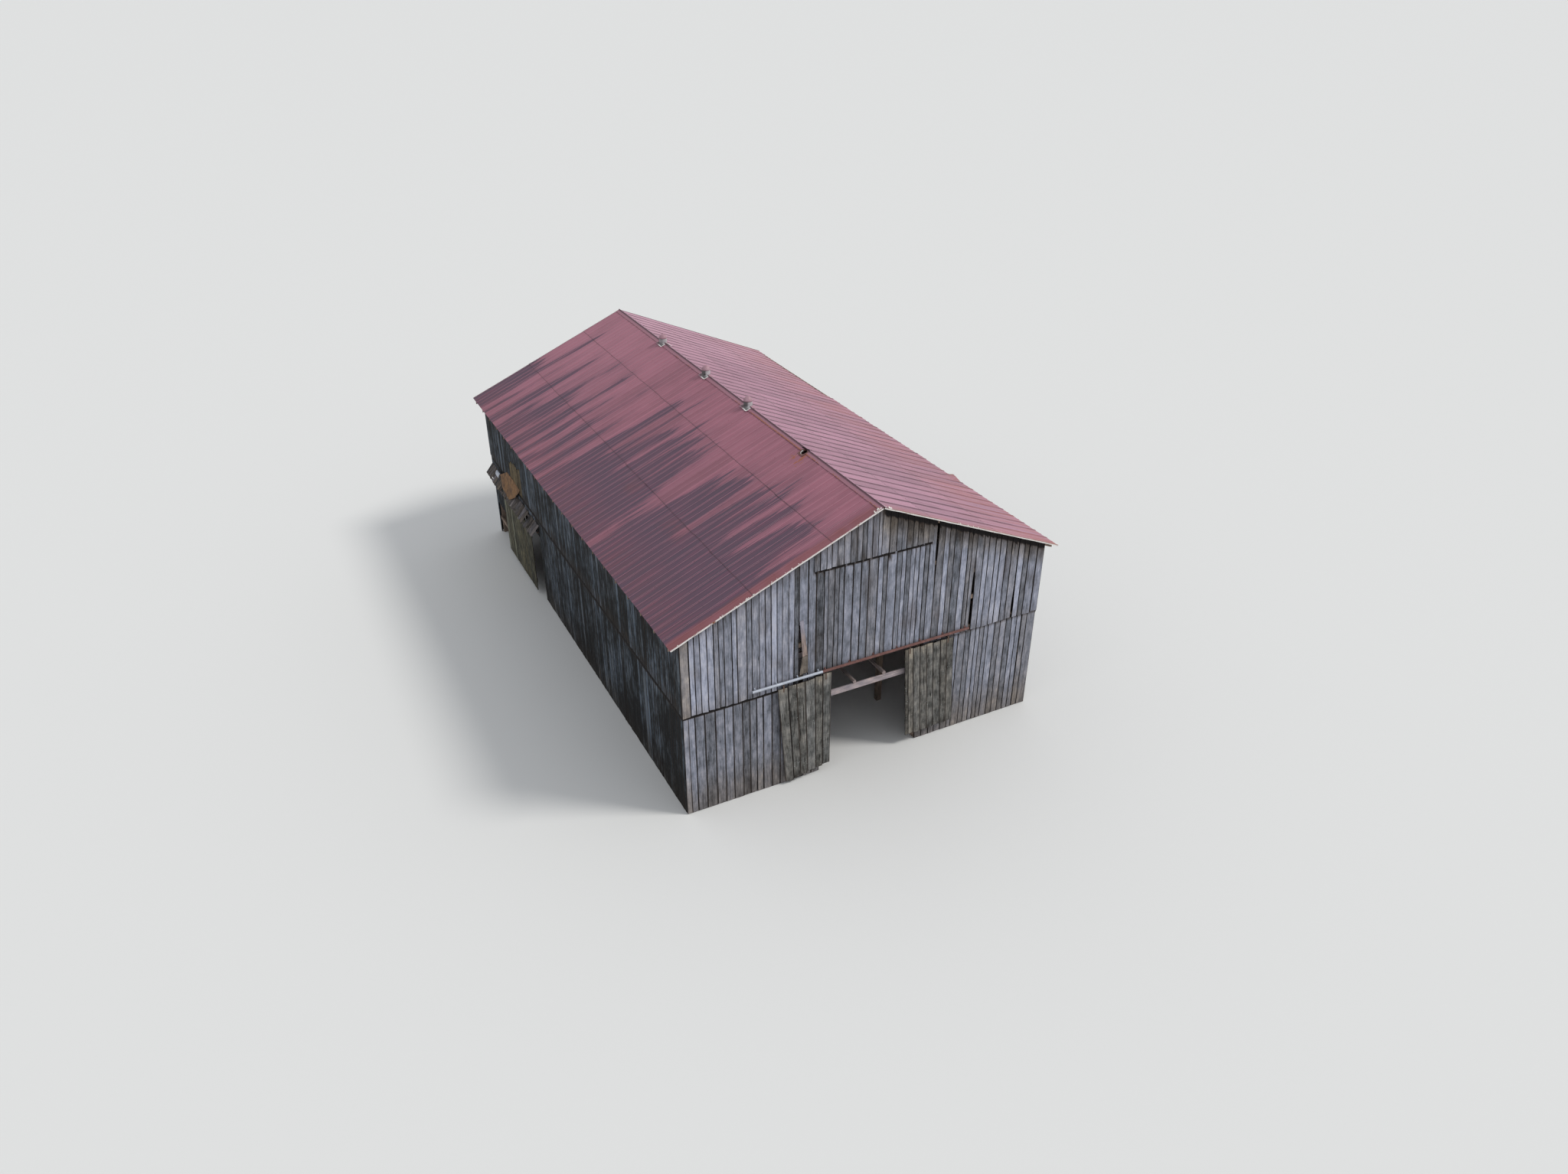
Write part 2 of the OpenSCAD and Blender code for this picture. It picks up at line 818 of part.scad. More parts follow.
// A rusted sheet that leans from the upper boards down onto the hood
module rusty_sheet() {
    half_t = 1.5;
    foot = 0.74;
    head_z = 4160;
    foot_x = lower_w + hood_out * foot;
    hood_top = hood_z + hood_rise - hood_drop * foot;
    tilt = atan((foot_x - half_w) / (head_z - hood_top));
    foot_z = hood_top + half_t * (sin(tilt) + cos(tilt) * hood_fall) + seat * 1.6;
    length = (head_z - foot_z) / cos(tilt) - 12;
    color("peru") translate([-foot_x, side_door_y, foot_z]) rotate([0, tilt, 0])
        sideways(-half_t, half_t)
            polygon([
                [3940, 0], [2730, length * 0.42], [2240, length * 0.97],
                [4240, length], [5150, length * 0.52], [4670, length * 0.1]
            ]);
}

module side_door_track() {
    y0 = hood_start + 40;
    y1 = hood_end - 40;
    arms = 7;
    color("sienna") {
        translate([-side_track_x, y1, side_track_z]) rotate([90, 0, 0])
            cylinder(d = side_track_d, h = y1 - y0, $fn = round_fn);
        for (i = [0 : arms - 1]) {
            y = y0 + 100 + i * (y1 - y0 - 200) / (arms - 1);
            span([-lower_w - 6, y - 20, side_track_z - 60],
                 [-lower_w, y + 20, side_track_z + 50]);
            span([-side_track_x + 8, y - 15, side_track_z - 14],
                 [-lower_w, y + 15, side_track_z - 2]);
        }
    }
}

side_leaf_y = side_door_y + side_leaf_shift;
side_leaf_top = side_track_z - side_track_d / 2 - 20;
side_leaf_foot = 170;
side_inset = 510;
side_ledges = [545, 1575, 2665];

module side_door() {
    thick = leaf_t / 2;
    color("gray") {
        span([-side_face_x, side_leaf_y, side_leaf_foot],
             [-side_face_x + thick, side_leaf_y + side_leaf_w, side_leaf_top]);
        for (z = side_ledges)
            span([-side_face_x + thick, side_leaf_y, z],
                 [-side_face_x + leaf_t, side_leaf_y + side_leaf_w, z + ledge_h]);
    }
}

// A wheel whose groove fits over the round side track, turned about its own axle
module grooved_wheel(r, groove_w, rim) {
    half = groove_w / 2;
    rim_w = 5;
    rotate_extrude($fn = round_fn)
        polygon([
            [0, -half - rim_w], [r + rim, -half - rim_w], [r + rim, -half],
            [r, -half * 0.3], [r, half * 0.3], [r + rim, half],
            [r + rim, half + rim_w], [0, half + rim_w]
        ]);
}

module side_hanger(y) {
    axle_z = side_track_z + side_track_d / 2 + side_wheel_r + seat;
    translate([-side_track_x, y, axle_z]) rotate([0, -90, 0]) {
        grooved_wheel(side_wheel_r, side_wheel_w, side_wheel_rim);
        cylinder(r = axle_r, h = side_face_x - side_track_x + hanger_t, $fn = 6);
    }
    span([-side_face_x - hanger_t, y - 20, side_leaf_top - 300],
         [-side_face_x, y + 20, axle_z + strap_over]);
}

module side_door_hangers() {
    color("dimgray")
        for (y = [side_leaf_y + side_inset, side_leaf_y + side_leaf_w - side_inset])
            side_hanger(y);
}

gable_posts();
outer_posts();
inner_posts();
tie_beams();
side_plates();
inner_plates();
left_rafters();
right_rafters();
roof_battens();
front_girts();
back_girts();
side_girts();
tier_rails();
tier_poles();
front_wall_left();
front_wall_right();
front_wall_upper();
front_wall_peak();
loose_board();
back_wall_lower();
back_wall_upper();
back_wall_peak();
left_wall_front();
left_wall_back();
left_wall_over_door();
left_wall_upper();
right_wall_lower();
right_wall_upper();
roof_left();
roof_right();
ridge_cap();
rake_trim();
ridge_vents();
broken_vent();
left_door_track();
right_door_track();
left_front_door();
right_front_door();
left_door_hangers();
right_door_hangers();
side_door_hood();
rusty_sheet();
side_door_track();
side_door();
side_door_hangers();
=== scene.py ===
import random
from math import acos, atan, cos, degrees, exp, hypot, pi, radians, sin

import bmesh
import bpy
from mathutils import Matrix, Vector, noise


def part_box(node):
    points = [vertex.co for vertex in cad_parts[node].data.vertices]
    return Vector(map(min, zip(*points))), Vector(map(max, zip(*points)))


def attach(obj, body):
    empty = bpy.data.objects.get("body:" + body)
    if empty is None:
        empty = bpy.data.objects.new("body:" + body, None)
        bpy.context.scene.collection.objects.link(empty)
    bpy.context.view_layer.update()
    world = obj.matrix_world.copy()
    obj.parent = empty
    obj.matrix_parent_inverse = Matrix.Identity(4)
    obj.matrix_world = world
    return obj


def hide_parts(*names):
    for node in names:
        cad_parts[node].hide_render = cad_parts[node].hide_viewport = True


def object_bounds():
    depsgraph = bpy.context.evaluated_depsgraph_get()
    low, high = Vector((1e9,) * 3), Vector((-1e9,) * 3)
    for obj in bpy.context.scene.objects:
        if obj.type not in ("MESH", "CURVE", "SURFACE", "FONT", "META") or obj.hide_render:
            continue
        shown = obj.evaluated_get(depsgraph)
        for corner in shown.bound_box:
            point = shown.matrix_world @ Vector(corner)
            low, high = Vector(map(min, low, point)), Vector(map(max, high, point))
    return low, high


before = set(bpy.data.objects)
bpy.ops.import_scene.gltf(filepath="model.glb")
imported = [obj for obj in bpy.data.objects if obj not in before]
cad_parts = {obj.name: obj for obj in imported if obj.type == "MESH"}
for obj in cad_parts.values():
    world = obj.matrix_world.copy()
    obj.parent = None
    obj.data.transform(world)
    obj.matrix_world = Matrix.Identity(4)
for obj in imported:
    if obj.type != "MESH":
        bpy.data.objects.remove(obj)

CAD_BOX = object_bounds()
LIMIT_X = CAD_BOX[1][0]

# Sizes of the barn in metres, as in the CAD
HALF_W, HALF_L = 6.65, 11.03
BOARD = 0.025
LOWER_W, LOWER_L = HALF_W - BOARD, HALF_L - BOARD
FRAME_W, FRAME_L = LOWER_W - BOARD, LOWER_L - BOARD
LAP, LAP_OVER, PEAK_LAP = 3.83, 0.18, 7.735
LOWER_TOP, WALL_TOP = LAP + LAP_OVER, 6.41
PEAK_LEFT, PEAK_RIGHT = -2.22, 2.05
RIDGE, EAVE = 9.46, 6.475
ROOF_X, ROOF_Y = 7.005, 11.276
SLOPE = (RIDGE - EAVE) / ROOF_X
PITCH = atan(SLOPE)
COS_P, SIN_P = cos(PITCH), sin(PITCH)
SLOPE_L = ROOF_X / COS_P
SHEETS = 37
COVER = 2 * ROOF_Y / SHEETS
END_LAPS = (1.909, 4.740)
CAP_W = 0.150
BROKEN_X, BROKEN_Y, BROKEN_R = -0.120, -6.480, 0.115

# Where the lowest boards start, and how low their ragged ends may come
GROUND, LOWEST = 0.015, 0.003
# Gap between the boards of a wall, and raggedness of their ends
GAP, RAGGED = 0.012, 0.012
# How dark the edges of a board are at a joint, and how black the shade under a lap is
JOINT, BLACK = 2.0, 2.4
# Settings of a board that runs true
TRUE = {"bow": 0.0, "wander": 0.0, "cup": 0.0, "ragged": 0.0}


def roof_at(x, depth=0.0):
    return RIDGE - abs(x) * SLOPE - depth / COS_P


def gable_top(u):
    return roof_at(min(abs(u), HALF_W), 0.031)


def smooth(a, b, x):
    t = min(1.0, max(0.0, (x - a) / (b - a)))
    return t * t * (3 - 2 * t)


def lerp(a, b, t):
    return a + (b - a) * t


def rough(x, y=0.0, z=0.0):
    return noise.noise(Vector((x, y, z)))


# Quads between rows of m points; a closed row also joins its last point to its first
def quads(rows, m, closed=False):
    return [(k * m + j, k * m + (j + 1) % m, (k + 1) * m + (j + 1) % m, (k + 1) * m + j)
            for k in range(rows) for j in range(m if closed else m - 1)]


def tube(rows, m):
    return quads(rows, m, True) + [tuple(range(m - 1, -1, -1)),
                                   tuple(rows * m + j for j in range(m))]


# Quads of a sheet and of its back, where first is the corner that each back quad starts from
def two_sided(faces, count, first=3):
    return faces + [tuple(count + f[first - k] for k in range(4)) for f in faces]


def rim(rows, m, count):
    loop = [k * m for k in range(rows + 1)] + [rows * m + j for j in range(1, m)]
    loop += [k * m + m - 1 for k in range(rows - 1, -1, -1)] + list(range(m - 2, 0, -1))
    return [(a, b, b + count, a + count) for a, b in zip(loop, loop[1:] + loop[:1])]


def new_object(name, data):
    obj = bpy.data.objects.new(name, data)
    bpy.context.scene.collection.objects.link(obj)
    return obj


# Node trees are written with a few short calls
class Shade:
    def __init__(self, name, roughness=0.8, metallic=0.0, specular=0.5):
        self.mat = bpy.data.materials.new(name)
        self.mat.use_nodes = True
        self.tree = self.mat.node_tree
        self.tree.nodes.clear()
        out = self.tree.nodes.new("ShaderNodeOutputMaterial")
        self.bsdf = self.tree.nodes.new("ShaderNodeBsdfPrincipled")
        self.tree.links.new(self.bsdf.outputs[0], out.inputs[0])
        self.set("Roughness", roughness)
        self.set("Metallic", metallic)
        self.set("Specular IOR Level", specular)

    def put(self, node, key, value):
        if isinstance(value, bpy.types.NodeSocket):
            self.tree.links.new(value, node.inputs[key])
        else:
            node.inputs[key].default_value = value

    def add(self, kind, values=(), out=0, **props):
        n = self.tree.nodes.new("ShaderNode" + kind)
        for k, v in props.items():
            setattr(n, k, v)
        for k, v in dict(values).items():
            self.put(n, k, v)
        return n.outputs[out]

    def set(self, key, value):
        self.put(self.bsdf, key, value)

    def read(self, name):
        return self.split(self.add("Attribute", out=1, attribute_name=name))

    def place(self):
        return self.add("TexCoord", out=3)

    def split(self, v):
        return tuple(self.add("SeparateXYZ", {0: v}).node.outputs)

    def join(self, x, y, z):
        return self.add("CombineXYZ", {0: x, 1: y, 2: z})

    def scale(self, v, x, y, z):
        return self.add("VectorMath", {0: v, 1: (x, y, z)}, operation="MULTIPLY")

    def noise(self, v, detail=3, rough=0.55, scale=1.0, twist=0.0):
        return self.add("TexNoise", {"Vector": v, "Scale": scale, "Detail": detail,
                                     "Roughness": rough, "Distortion": twist})

    def cells(self, v):
        return self.add("TexVoronoi", {"Vector": v, "Scale": 1.0, "Randomness": 1.0})

    def calc(self, op, a, b=0.0, c=0.0, clamp=False):
        return self.add("Math", {0: a, 1: b, 2: c}, operation=op, use_clamp=clamp)

    def plus(self, a, b, clamp=False):
        return self.calc("ADD", a, b, clamp=clamp)

    def minus(self, a, b, clamp=False):
        return self.calc("SUBTRACT", a, b, clamp=clamp)

    def mul(self, a, b, clamp=False):
        return self.calc("MULTIPLY", a, b, clamp=clamp)

    def band(self, v, a, b, lo=0.0, hi=1.0):
        return self.add("MapRange", {0: v, 1: a, 2: b, 3: lo, 4: hi},
                        interpolation_type="SMOOTHSTEP")

    def ramp(self, fac, stops):
        n = self.add("ValToRGB", {0: fac}).node
        el = n.color_ramp.elements
        while len(el) < len(stops):
            el.new(0.5)
        for e, (pos, col) in zip(el, stops):
            e.position = pos
            e.color = (*col, 1)
        return n.outputs[0]

    def mix(self, fac, a, b):
        a, b = ((*v, 1) if isinstance(v, tuple) else v for v in (a, b))
        return self.add("Mix", {0: fac, 6: a, 7: b}, out=2, data_type="RGBA")

    def bump(self, height, strength, distance):
        self.set("Normal", self.add("Bump", {"Height": height, "Strength": strength,
                                             "Distance": distance}))


GREY = [(0.0, (0.020, 0.020, 0.023)), (0.22, (0.066, 0.069, 0.080)),
        (0.5, (0.170, 0.181, 0.222)), (0.75, (0.290, 0.308, 0.395)), (1.0, (0.470, 0.495, 0.620))]
BROWN = [(0.0, (0.020, 0.016, 0.013)), (0.25, (0.076, 0.062, 0.052)),
         (0.5, (0.170, 0.145, 0.125)), (0.78, (0.310, 0.265, 0.230)), (1.0, (0.470, 0.410, 0.355))]
# The dark stain colour also paints shade; near black paints dark joints and the shade under laps
# and the right rake
STAIN_AND_SHADE, PITCH_BLACK, SPECK = (0.058, 0.041, 0.031), (0.010, 0.008, 0.008), (0.46, 0.47, 0.47)


def times(colour, k):
    return tuple(c * f for c, f in zip(colour, k))


# Weathered boards: fibres and cracks along the grain, broad blotches, specks, dark stains, and
# painted shade carried in the same stain channel
def board_wood(name, grey, brown, lift=0.0, specks=0.5, contrast=1.0, axis=None):
    s = Shade(name, roughness=0.88, specular=0.25)
    if axis is None:
        x, y, seed = s.read("grain")
        light, warm, stain_and_shade = s.read("tone")
    else:
        xyz = s.split(s.place())
        x, y, seed = (xyz[i] for i in {"x": (1, 0, 2), "y": (0, 1, 2), "z": (0, 2, 1)}[axis])
        broad = s.join(s.mul(x, 1.3), s.mul(y, 0.3), seed)
        light, warm, stain_and_shade = s.band(s.noise(broad), 0.3, 0.7, -0.7, 0.5), 0.75, 0.0
    v = s.join(x, y, seed)
    fibre = s.noise(s.scale(v, 60, 2.2, 3.7), 5, 0.65)
    vein = s.noise(s.scale(v, 21, 0.9, 1.9), 4, 0.62, twist=0.5)
    patch = s.noise(s.scale(v, 4.6, 2.1, 2.3), 5, 0.66)
    knot = s.band(s.cells(s.scale(v, 6.0, 1.0, 5.1)), 0.03, 0.11, 1.0, 0.0)
    crack = s.band(s.noise(s.scale(v, 44, 0.42, 9.3), 2, 0.5), 0.285, 0.335, 1.0, 0.0)
    f = s.plus(s.calc("MULTIPLY_ADD", fibre, 0.85 * contrast, 0.08 + lift - 0.425 * contrast),
               s.calc("MULTIPLY_ADD", vein, 0.32 * contrast, 0.41 - 0.16 * contrast))
    f = s.plus(f, s.mul(s.minus(patch, 0.5), 0.85 * contrast))
    f = s.plus(f, s.mul(light, 0.125))
    f = s.minus(f, s.mul(knot, 0.30))
    f = s.minus(f, s.mul(crack, 0.55), clamp=True)
    grey_tone, brown_tone = (s.ramp(f, [(p, times(col, k)) for p, col in stops])
                             for stops, k in ((GREY, grey), (BROWN, brown)))
    col = s.mix(s.plus(warm, s.mul(s.minus(patch, 0.52), 1.1), clamp=True), grey_tone, brown_tone)
    # The stain channel darkens the wood for real stains and for painted shade alike
    stained_and_shaded = s.mul(stain_and_shade, s.band(vein, 0.30, 0.62, 1.0, 0.62), clamp=True)
    col = s.mix(s.mul(stained_and_shaded, 0.85), col, STAIN_AND_SHADE)
    dot = s.mul(s.band(s.cells(s.scale(v, 24, 14, 7.7)), 0.08, 0.20, 1.0, 0.0),
                s.band(s.noise(s.scale(v, 5.5, 3.1, 4.4), 2), 0.52, 0.66))
    col = s.mix(s.mul(dot, specks), col, SPECK)
    # Near black where the stain channel passes 1: dark joints, and painted shade under the laps and
    # the right rake
    s.set("Base Color", s.mix(s.band(stain_and_shade, 1.0, 1.7), col, PITCH_BLACK))
    s.bump(s.minus(fibre, s.mul(crack, 0.6)), 0.55, 0.004)
    return s.mat


# Faded red sheets: soot streaks down the slope, pale ribs as painted highlight, dark seams and lap
# lines as painted shade, brick and rusty places
def roof_paint(name, red, pale, sheen, streak, bricks, seams=0.0, rib_highlight=0.75):
    s = Shade(name, roughness=sheen)
    x, y, seed = s.read("grain")
    soot, rust, rib = s.read("tone")
    brick, fade_and_sheen, edge = s.read("mark")
    v, flat = s.join(x, y, seed), s.join(x, y, 0.0)
    sheet = s.noise(s.join(0.0, 0.0, s.mul(seed, 13.7)), 0)
    cloud = s.noise(s.scale(flat, 0.9, 0.6, 1), 4, 0.6)
    wash = s.noise(s.scale(flat, 8, 0.30, 1), 4, 0.62)
    fine = s.noise(s.scale(flat, 30, 0.34, 1), 5, 0.72)
    grain = s.noise(s.scale(v, 120, 70, 3), 2, 0.5)
    tone = s.plus(s.mul(cloud, 0.45), s.mul(wash, 0.55))
    tone = s.plus(tone, s.mul(s.minus(sheet, 0.5), 0.62))
    # Faded paint, and painted sheen where the marks give it, turn the red paler
    tone = s.plus(tone, s.mul(fade_and_sheen, 0.3))
    base = s.mix(s.band(tone, 0.30, 0.70), times(red, (0.82,) * 3), times(red, (1.17,) * 3))
    base = s.mix(s.mul(s.band(fine, 0.54, 0.74), 0.26), base, pale)
    base = s.mix(s.mul(fade_and_sheen, 0.45, clamp=True), base, pale)
    # Pale lines along the ribs are painted highlight on their lit side
    base = s.mix(s.mul(s.band(rib, 0.45, 0.90), rib_highlight), base, pale)
    lines = s.plus(s.mul(fine, 0.62), s.mul(wash, 0.38))
    dark = s.band(s.plus(lines, s.mul(s.minus(soot, 0.5), 0.46)), 0.50, 0.575)
    dark = s.mul(s.mul(dark, s.band(soot, 0.02, 0.30)), 0.93)
    dark = s.calc("MAXIMUM", dark, s.mul(soot, 0.46, clamp=True))
    dark = s.mul(dark, s.band(rib, 0.45, 0.90, 1.0, 0.12))
    warm = s.band(s.noise(s.scale(flat, 20, 0.5, 1), 3), 0.45, 0.66)
    col = s.mix(dark, base, s.mix(warm, streak, times(streak, (1.7, 1.1, 1.15))))
    # Dark lines by the seams are painted shade beside the ribs, stronger in some places than others
    if seams:
        sway = s.mul(s.minus(s.noise(s.scale(flat, 0.7, 0.9, 1), 2), 0.5), 0.035)
        part = s.calc("FRACT", s.calc("DIVIDE", s.plus(s.plus(x, sway), ROOF_Y), COVER))
        off = s.calc("ABSOLUTE", s.minus(part, 0.5))
        shade_line_strength = s.band(s.noise(s.scale(flat, 3.0, 0.8, 1), 3), 0.36, 0.56, 0.65, 1.0)
        seam = s.mul(s.band(off, 0.5 - 0.064 / COVER, 0.5 - 0.030 / COVER), shade_line_strength)
        col = s.mix(s.mul(seam, seams), col, (0.100, 0.040, 0.062))
    col = s.mix(s.mul(brick, 0.85, clamp=True), col, s.mix(fine, *bricks))
    # The edge mark paints the shadow line below an end lap and the shade on the ridge roll
    col = s.mix(edge, col, (0.075, 0.034, 0.048))
    worn = s.noise(s.scale(v, 14, 9, 3), 5, 0.7)
    rusted = s.band(s.plus(worn, s.mul(rust, 0.55)), 0.72, 0.86)
    rust_tone = s.ramp(grain, [(0.3, (0.20, 0.062, 0.032)), (0.7, (0.46, 0.16, 0.075))])
    s.set("Base Color", s.mix(s.mul(rusted, 0.85), col, rust_tone))
    s.set("Roughness", s.band(dark, 0, 1, sheen, min(1, sheen + 0.2)))
    s.bump(s.plus(grain, s.mul(worn, 1.4)), 0.12, 0.002)
    return s.mat


# Mottled metal with a share of rust, and painted shade where its tone says so
def metal(name, stops, rough_range, metallic=0.0, size=5.0, rust=0.0, bump=0.1):
    s = Shade(name, metallic=metallic)
    p = s.place()
    big = s.noise(p, 5, 0.65, scale=size)
    small = s.noise(p, 4, 0.6, scale=size * 9)
    col = s.ramp(s.plus(s.mul(big, 0.6), s.mul(small, 0.4)), stops)
    if rust:
        mask = s.band(s.noise(p, 5, 0.7, scale=size * 0.7), 0.66 - rust * 0.3, 0.74 - rust * 0.25)
        rust_tone = s.ramp(small, [(0.3, (0.12, 0.04, 0.02)), (0.7, (0.33, 0.12, 0.05))])
        col = s.mix(mask, col, rust_tone)
    stained_and_shaded = s.mul(s.read("tone")[2], s.band(big, 0.25, 0.5, 1.0, 0.8), clamp=True)
    s.set("Base Color", s.mix(stained_and_shaded, col, (0.018, 0.013, 0.012)))
    s.set("Roughness", s.band(small, 0.3, 0.7, *rough_range))
    s.bump(small, bump, 0.003)
    return s.mat


front_wood = board_wood("front_wood", (1.06, 1.06, 1.04), (1.06, 1.06, 1.04), 0.05, contrast=1.3)
# The left wall's wood is darker and bluer than the front's partly as painted shade, for that wall
# stands in shade
side_wood = board_wood("side_wood", (0.26, 0.32, 0.335), (0.22, 0.23, 0.215), -0.15, 0.3, 3.0)
door_wood = board_wood("door_wood", (0.78, 0.78, 0.66), (0.84, 0.86, 0.80), 0.0, 0.95, 1.7)
leaf_wood = board_wood("leaf_wood", (0.57, 0.61, 0.43), (0.56, 0.57, 0.39), 0.0, 0.3, 2.0)
hood_wood = board_wood("hood_wood", (0.62, 0.58, 0.56), (0.60, 0.56, 0.50), 0.0, 0.4, 1.9)
pale_wood = board_wood("pale_wood", (1.10, 1.02, 0.98), (1.22, 1.08, 1.08), 0.06)
ochre_wood = board_wood("ochre_wood", (0.46, 0.42, 0.27), (0.62, 0.54, 0.32), contrast=1.8)
inner = {a: board_wood("inner_wood_" + a, (1.05, 0.88, 0.68), (1.30, 1.08, 0.93), 0.02, 0.0, axis=a)
         for a in "xyz"}
red_left = roof_paint("red_left", (0.318, 0.118, 0.163), (0.48, 0.255, 0.315), 0.52,
                      (0.088, 0.060, 0.092), ((0.15, 0.046, 0.050), (0.31, 0.098, 0.098)))
# The right slope's paint is paler and pinker than the left's partly as painted sheen
red_right = roof_paint("red_right", (0.425, 0.216, 0.295), (0.60, 0.38, 0.45), 0.45,
                       (0.20, 0.10, 0.13), ((0.31, 0.105, 0.105), (0.52, 0.200, 0.190)),
                       seams=0.95, rib_highlight=0.22)
rust_red = metal("rust_red", [(0.3, (0.075, 0.034, 0.032)), (0.5, (0.165, 0.078, 0.068)),
                              (0.72, (0.29, 0.150, 0.130))], (0.75, 0.95), size=9, bump=0.3)
zinc = metal("zinc", [(0.32, (0.36, 0.39, 0.45)), (0.5, (0.47, 0.50, 0.57)),
                      (0.7, (0.62, 0.66, 0.74))], (0.35, 0.6), 0.3)
vent_zinc = metal("vent_zinc", [(0.3, (0.33, 0.310, 0.315)), (0.5, (0.52, 0.495, 0.510)),
                                (0.72, (0.75, 0.735, 0.755))], (0.4, 0.7), 0.1)
hat_paint = metal("hat_paint", [(0.3, (0.27, 0.135, 0.165)), (0.5, (0.40, 0.225, 0.27)),
                                (0.72, (0.56, 0.38, 0.44))], (0.45, 0.7))
flashing = metal("flashing", [(0.3, (0.70, 0.64, 0.60)), (0.5, (0.88, 0.84, 0.82)),
                              (0.75, (0.93, 0.91, 0.90))], (0.5, 0.8))
white_trim = metal("white_trim", [(0.3, (0.50, 0.45, 0.42)), (0.5, (0.78, 0.74, 0.71)),
                                  (0.7, (0.90, 0.88, 0.86))], (0.5, 0.8), rust=0.25)
worn_trim = metal("worn_trim", [(0.3, (0.15, 0.070, 0.050)), (0.5, (0.30, 0.17, 0.12)),
                                (0.7, (0.62, 0.55, 0.50))], (0.6, 0.9), size=4, rust=0.5)
iron = metal("iron", [(0.3, (0.05, 0.034, 0.028)), (0.5, (0.105, 0.066, 0.050)),
                      (0.7, (0.19, 0.11, 0.075))], (0.7, 0.9), size=20, bump=0.25)
rust_sheet = metal("rust_sheet", [(0.3, (0.030, 0.018, 0.012)), (0.45, (0.115, 0.056, 0.024)),
                                  (0.56, (0.26, 0.132, 0.050)), (0.72, (0.20, 0.145, 0.095))],
                   (0.7, 0.95), size=4.2, bump=0.3)
# A black material for painted shade in the ventilators' slots and on the strip over the lost one
shade_black = Shade("shade_black", 1.0, specular=0.0)
shade_black.set("Base Color", (0.004, 0.004, 0.004, 1))


# Faces of one joined piece, with the grain and tone that its material reads
class Heap:
    def __init__(self):
        self.verts, self.faces, self.mats = [], [], []
        self.grain, self.tone, self.mark = [], [], []

    def add(self, verts, faces, grain=None, tone=None, mat=0, mark=None):
        base, n = len(self.verts), len(verts)
        self.verts += verts
        self.grain += grain or [(v[0], v[2], 0.0) for v in verts]
        self.tone += tone if isinstance(tone, list) else [tone or (0.0, 0.0, 0.0)] * n
        self.mark += mark or [(0.0, 0.0, 0.0)] * n
        self.faces += [tuple(base + i for i in f) for f in faces]
        self.mats += mat if isinstance(mat, list) else [mat] * len(faces)

    def build(self, name, materials, slot, nodes=(), body="barn", angle=35):
        mesh = bpy.data.meshes.new(name)
        mesh.from_pydata(self.verts, [], self.faces)
        for m in materials:
            mesh.materials.append(m)
        mesh.polygons.foreach_set("material_index", self.mats)
        for key in ("grain", "tone", "mark"):
            a = mesh.attributes.new(key, "FLOAT_VECTOR", "POINT")
            a.data.foreach_set("vector", [c for v in getattr(self, key) for c in v])
        bm = bmesh.new()
        bm.from_mesh(mesh)
        bmesh.ops.recalc_face_normals(bm, faces=bm.faces)
        limit = radians(angle)
        for f in bm.faces:
            f.smooth = True
        for e in bm.edges:
            e.smooth = len(e.link_faces) == 2 and e.calc_face_angle(3.2) < limit
        bm.to_mesh(mesh)
        bm.free()
        obj = new_object(name, mesh)
        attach(obj, body)
        if nodes:
            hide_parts(*nodes)


# One board in a wall's own axes: u across, v along, w out; place() takes these to the barn
def board(heap, place, u0, u1, v0, v1, thick=BOARD, seed=0, tone=(0, 0, 0), step=0.5,
          bow=0.004, wander=0.002, cup=0.0015, ragged=0.006, left=None, right=None, mat=0,
          joint=0.0, cuts=None):
    r = random.Random(seed)
    low, high = (f if callable(f) else lambda u, f=f: f for f in (v0, v1))
    mid, width = (u0 + u1) / 2, u1 - u0
    length = high(mid) - low(mid)
    n = max(2, round(length / step))
    c = min(0.004, thick * 0.16)
    solid, faded = width * 0.036, width * 0.078
    dark = [joint * r.uniform(0.55, 1.0) for _ in range(2)]
    ring = [(u0, 0.0), (u1, 0.0), (u1, thick - c), (u1 - c, thick), (u1 - solid, thick),
            (u1 - faded, thick), (mid, thick), (u0 + faded, thick), (u0 + solid, thick),
            (u0 + c, thick), (u0, thick - c)]
    parts = [(v - low(mid)) / length for v in (cuts(mid) if cuts else ())
             if low(mid) < v < high(mid)]
    parts = sorted([k / n for k in range(n + 1)] + parts)
    n = len(parts) - 1
    sway = r.uniform(0, 50)
    tilt = r.uniform(-1, 1) * bow
    ends = [[r.uniform(-1, 1) * ragged for _ in range(4)] for _ in range(2)]
    kernel = r.uniform(0, 90)
    verts, grain, tones = [], [], []
    for k, t in enumerate(parts):
        dw = bow * rough(sway, t * length * 0.6) + tilt * (t - 0.5)
        da, db = (wander * rough(sway + d, t * length) for d in (7, 19))
        twist = bow * 0.8 * rough(sway + 31, t * 2)
        for i, (u, w) in enumerate(ring):
            side = (u - mid) / width * 2
            v = lerp(low(u), high(u), t)
            if k in (0, n):
                e = ends[0 if k == 0 else 1]
                v += e[0] * side + e[1 + i % 3] * 0.5
            uu = u + (da if side < 0 else db if side > 0 else 0)
            if left and side < -0.5:
                uu += left(v)
            if right and side > 0.5:
                uu += right(v)
            verts.append(place(uu, v, w + dw + twist * side + (cup if i == 6 else 0)))
            grain.append((uu - u0 + w, v + kernel, kernel))
            light, warm, stain_and_shade = tone(uu, v) if callable(tone) else tone
            tones.append((light, warm, stain_and_shade if 5 <= i <= 7 else max(stain_and_shade, dark[side > 0])))
    heap.add(verts, tube(n, len(ring)), grain, tones, mat)


# Board edges from u0 to u1 with widths in a range
def random_edges(u0, u1, seed, narrow=0.17, wide=0.30):
    r = random.Random(seed)
    edges = [u0]
    while u1 - edges[-1] > wide * 1.4:
        edges.append(edges[-1] + r.uniform(narrow, wide))
    return edges + [u1]


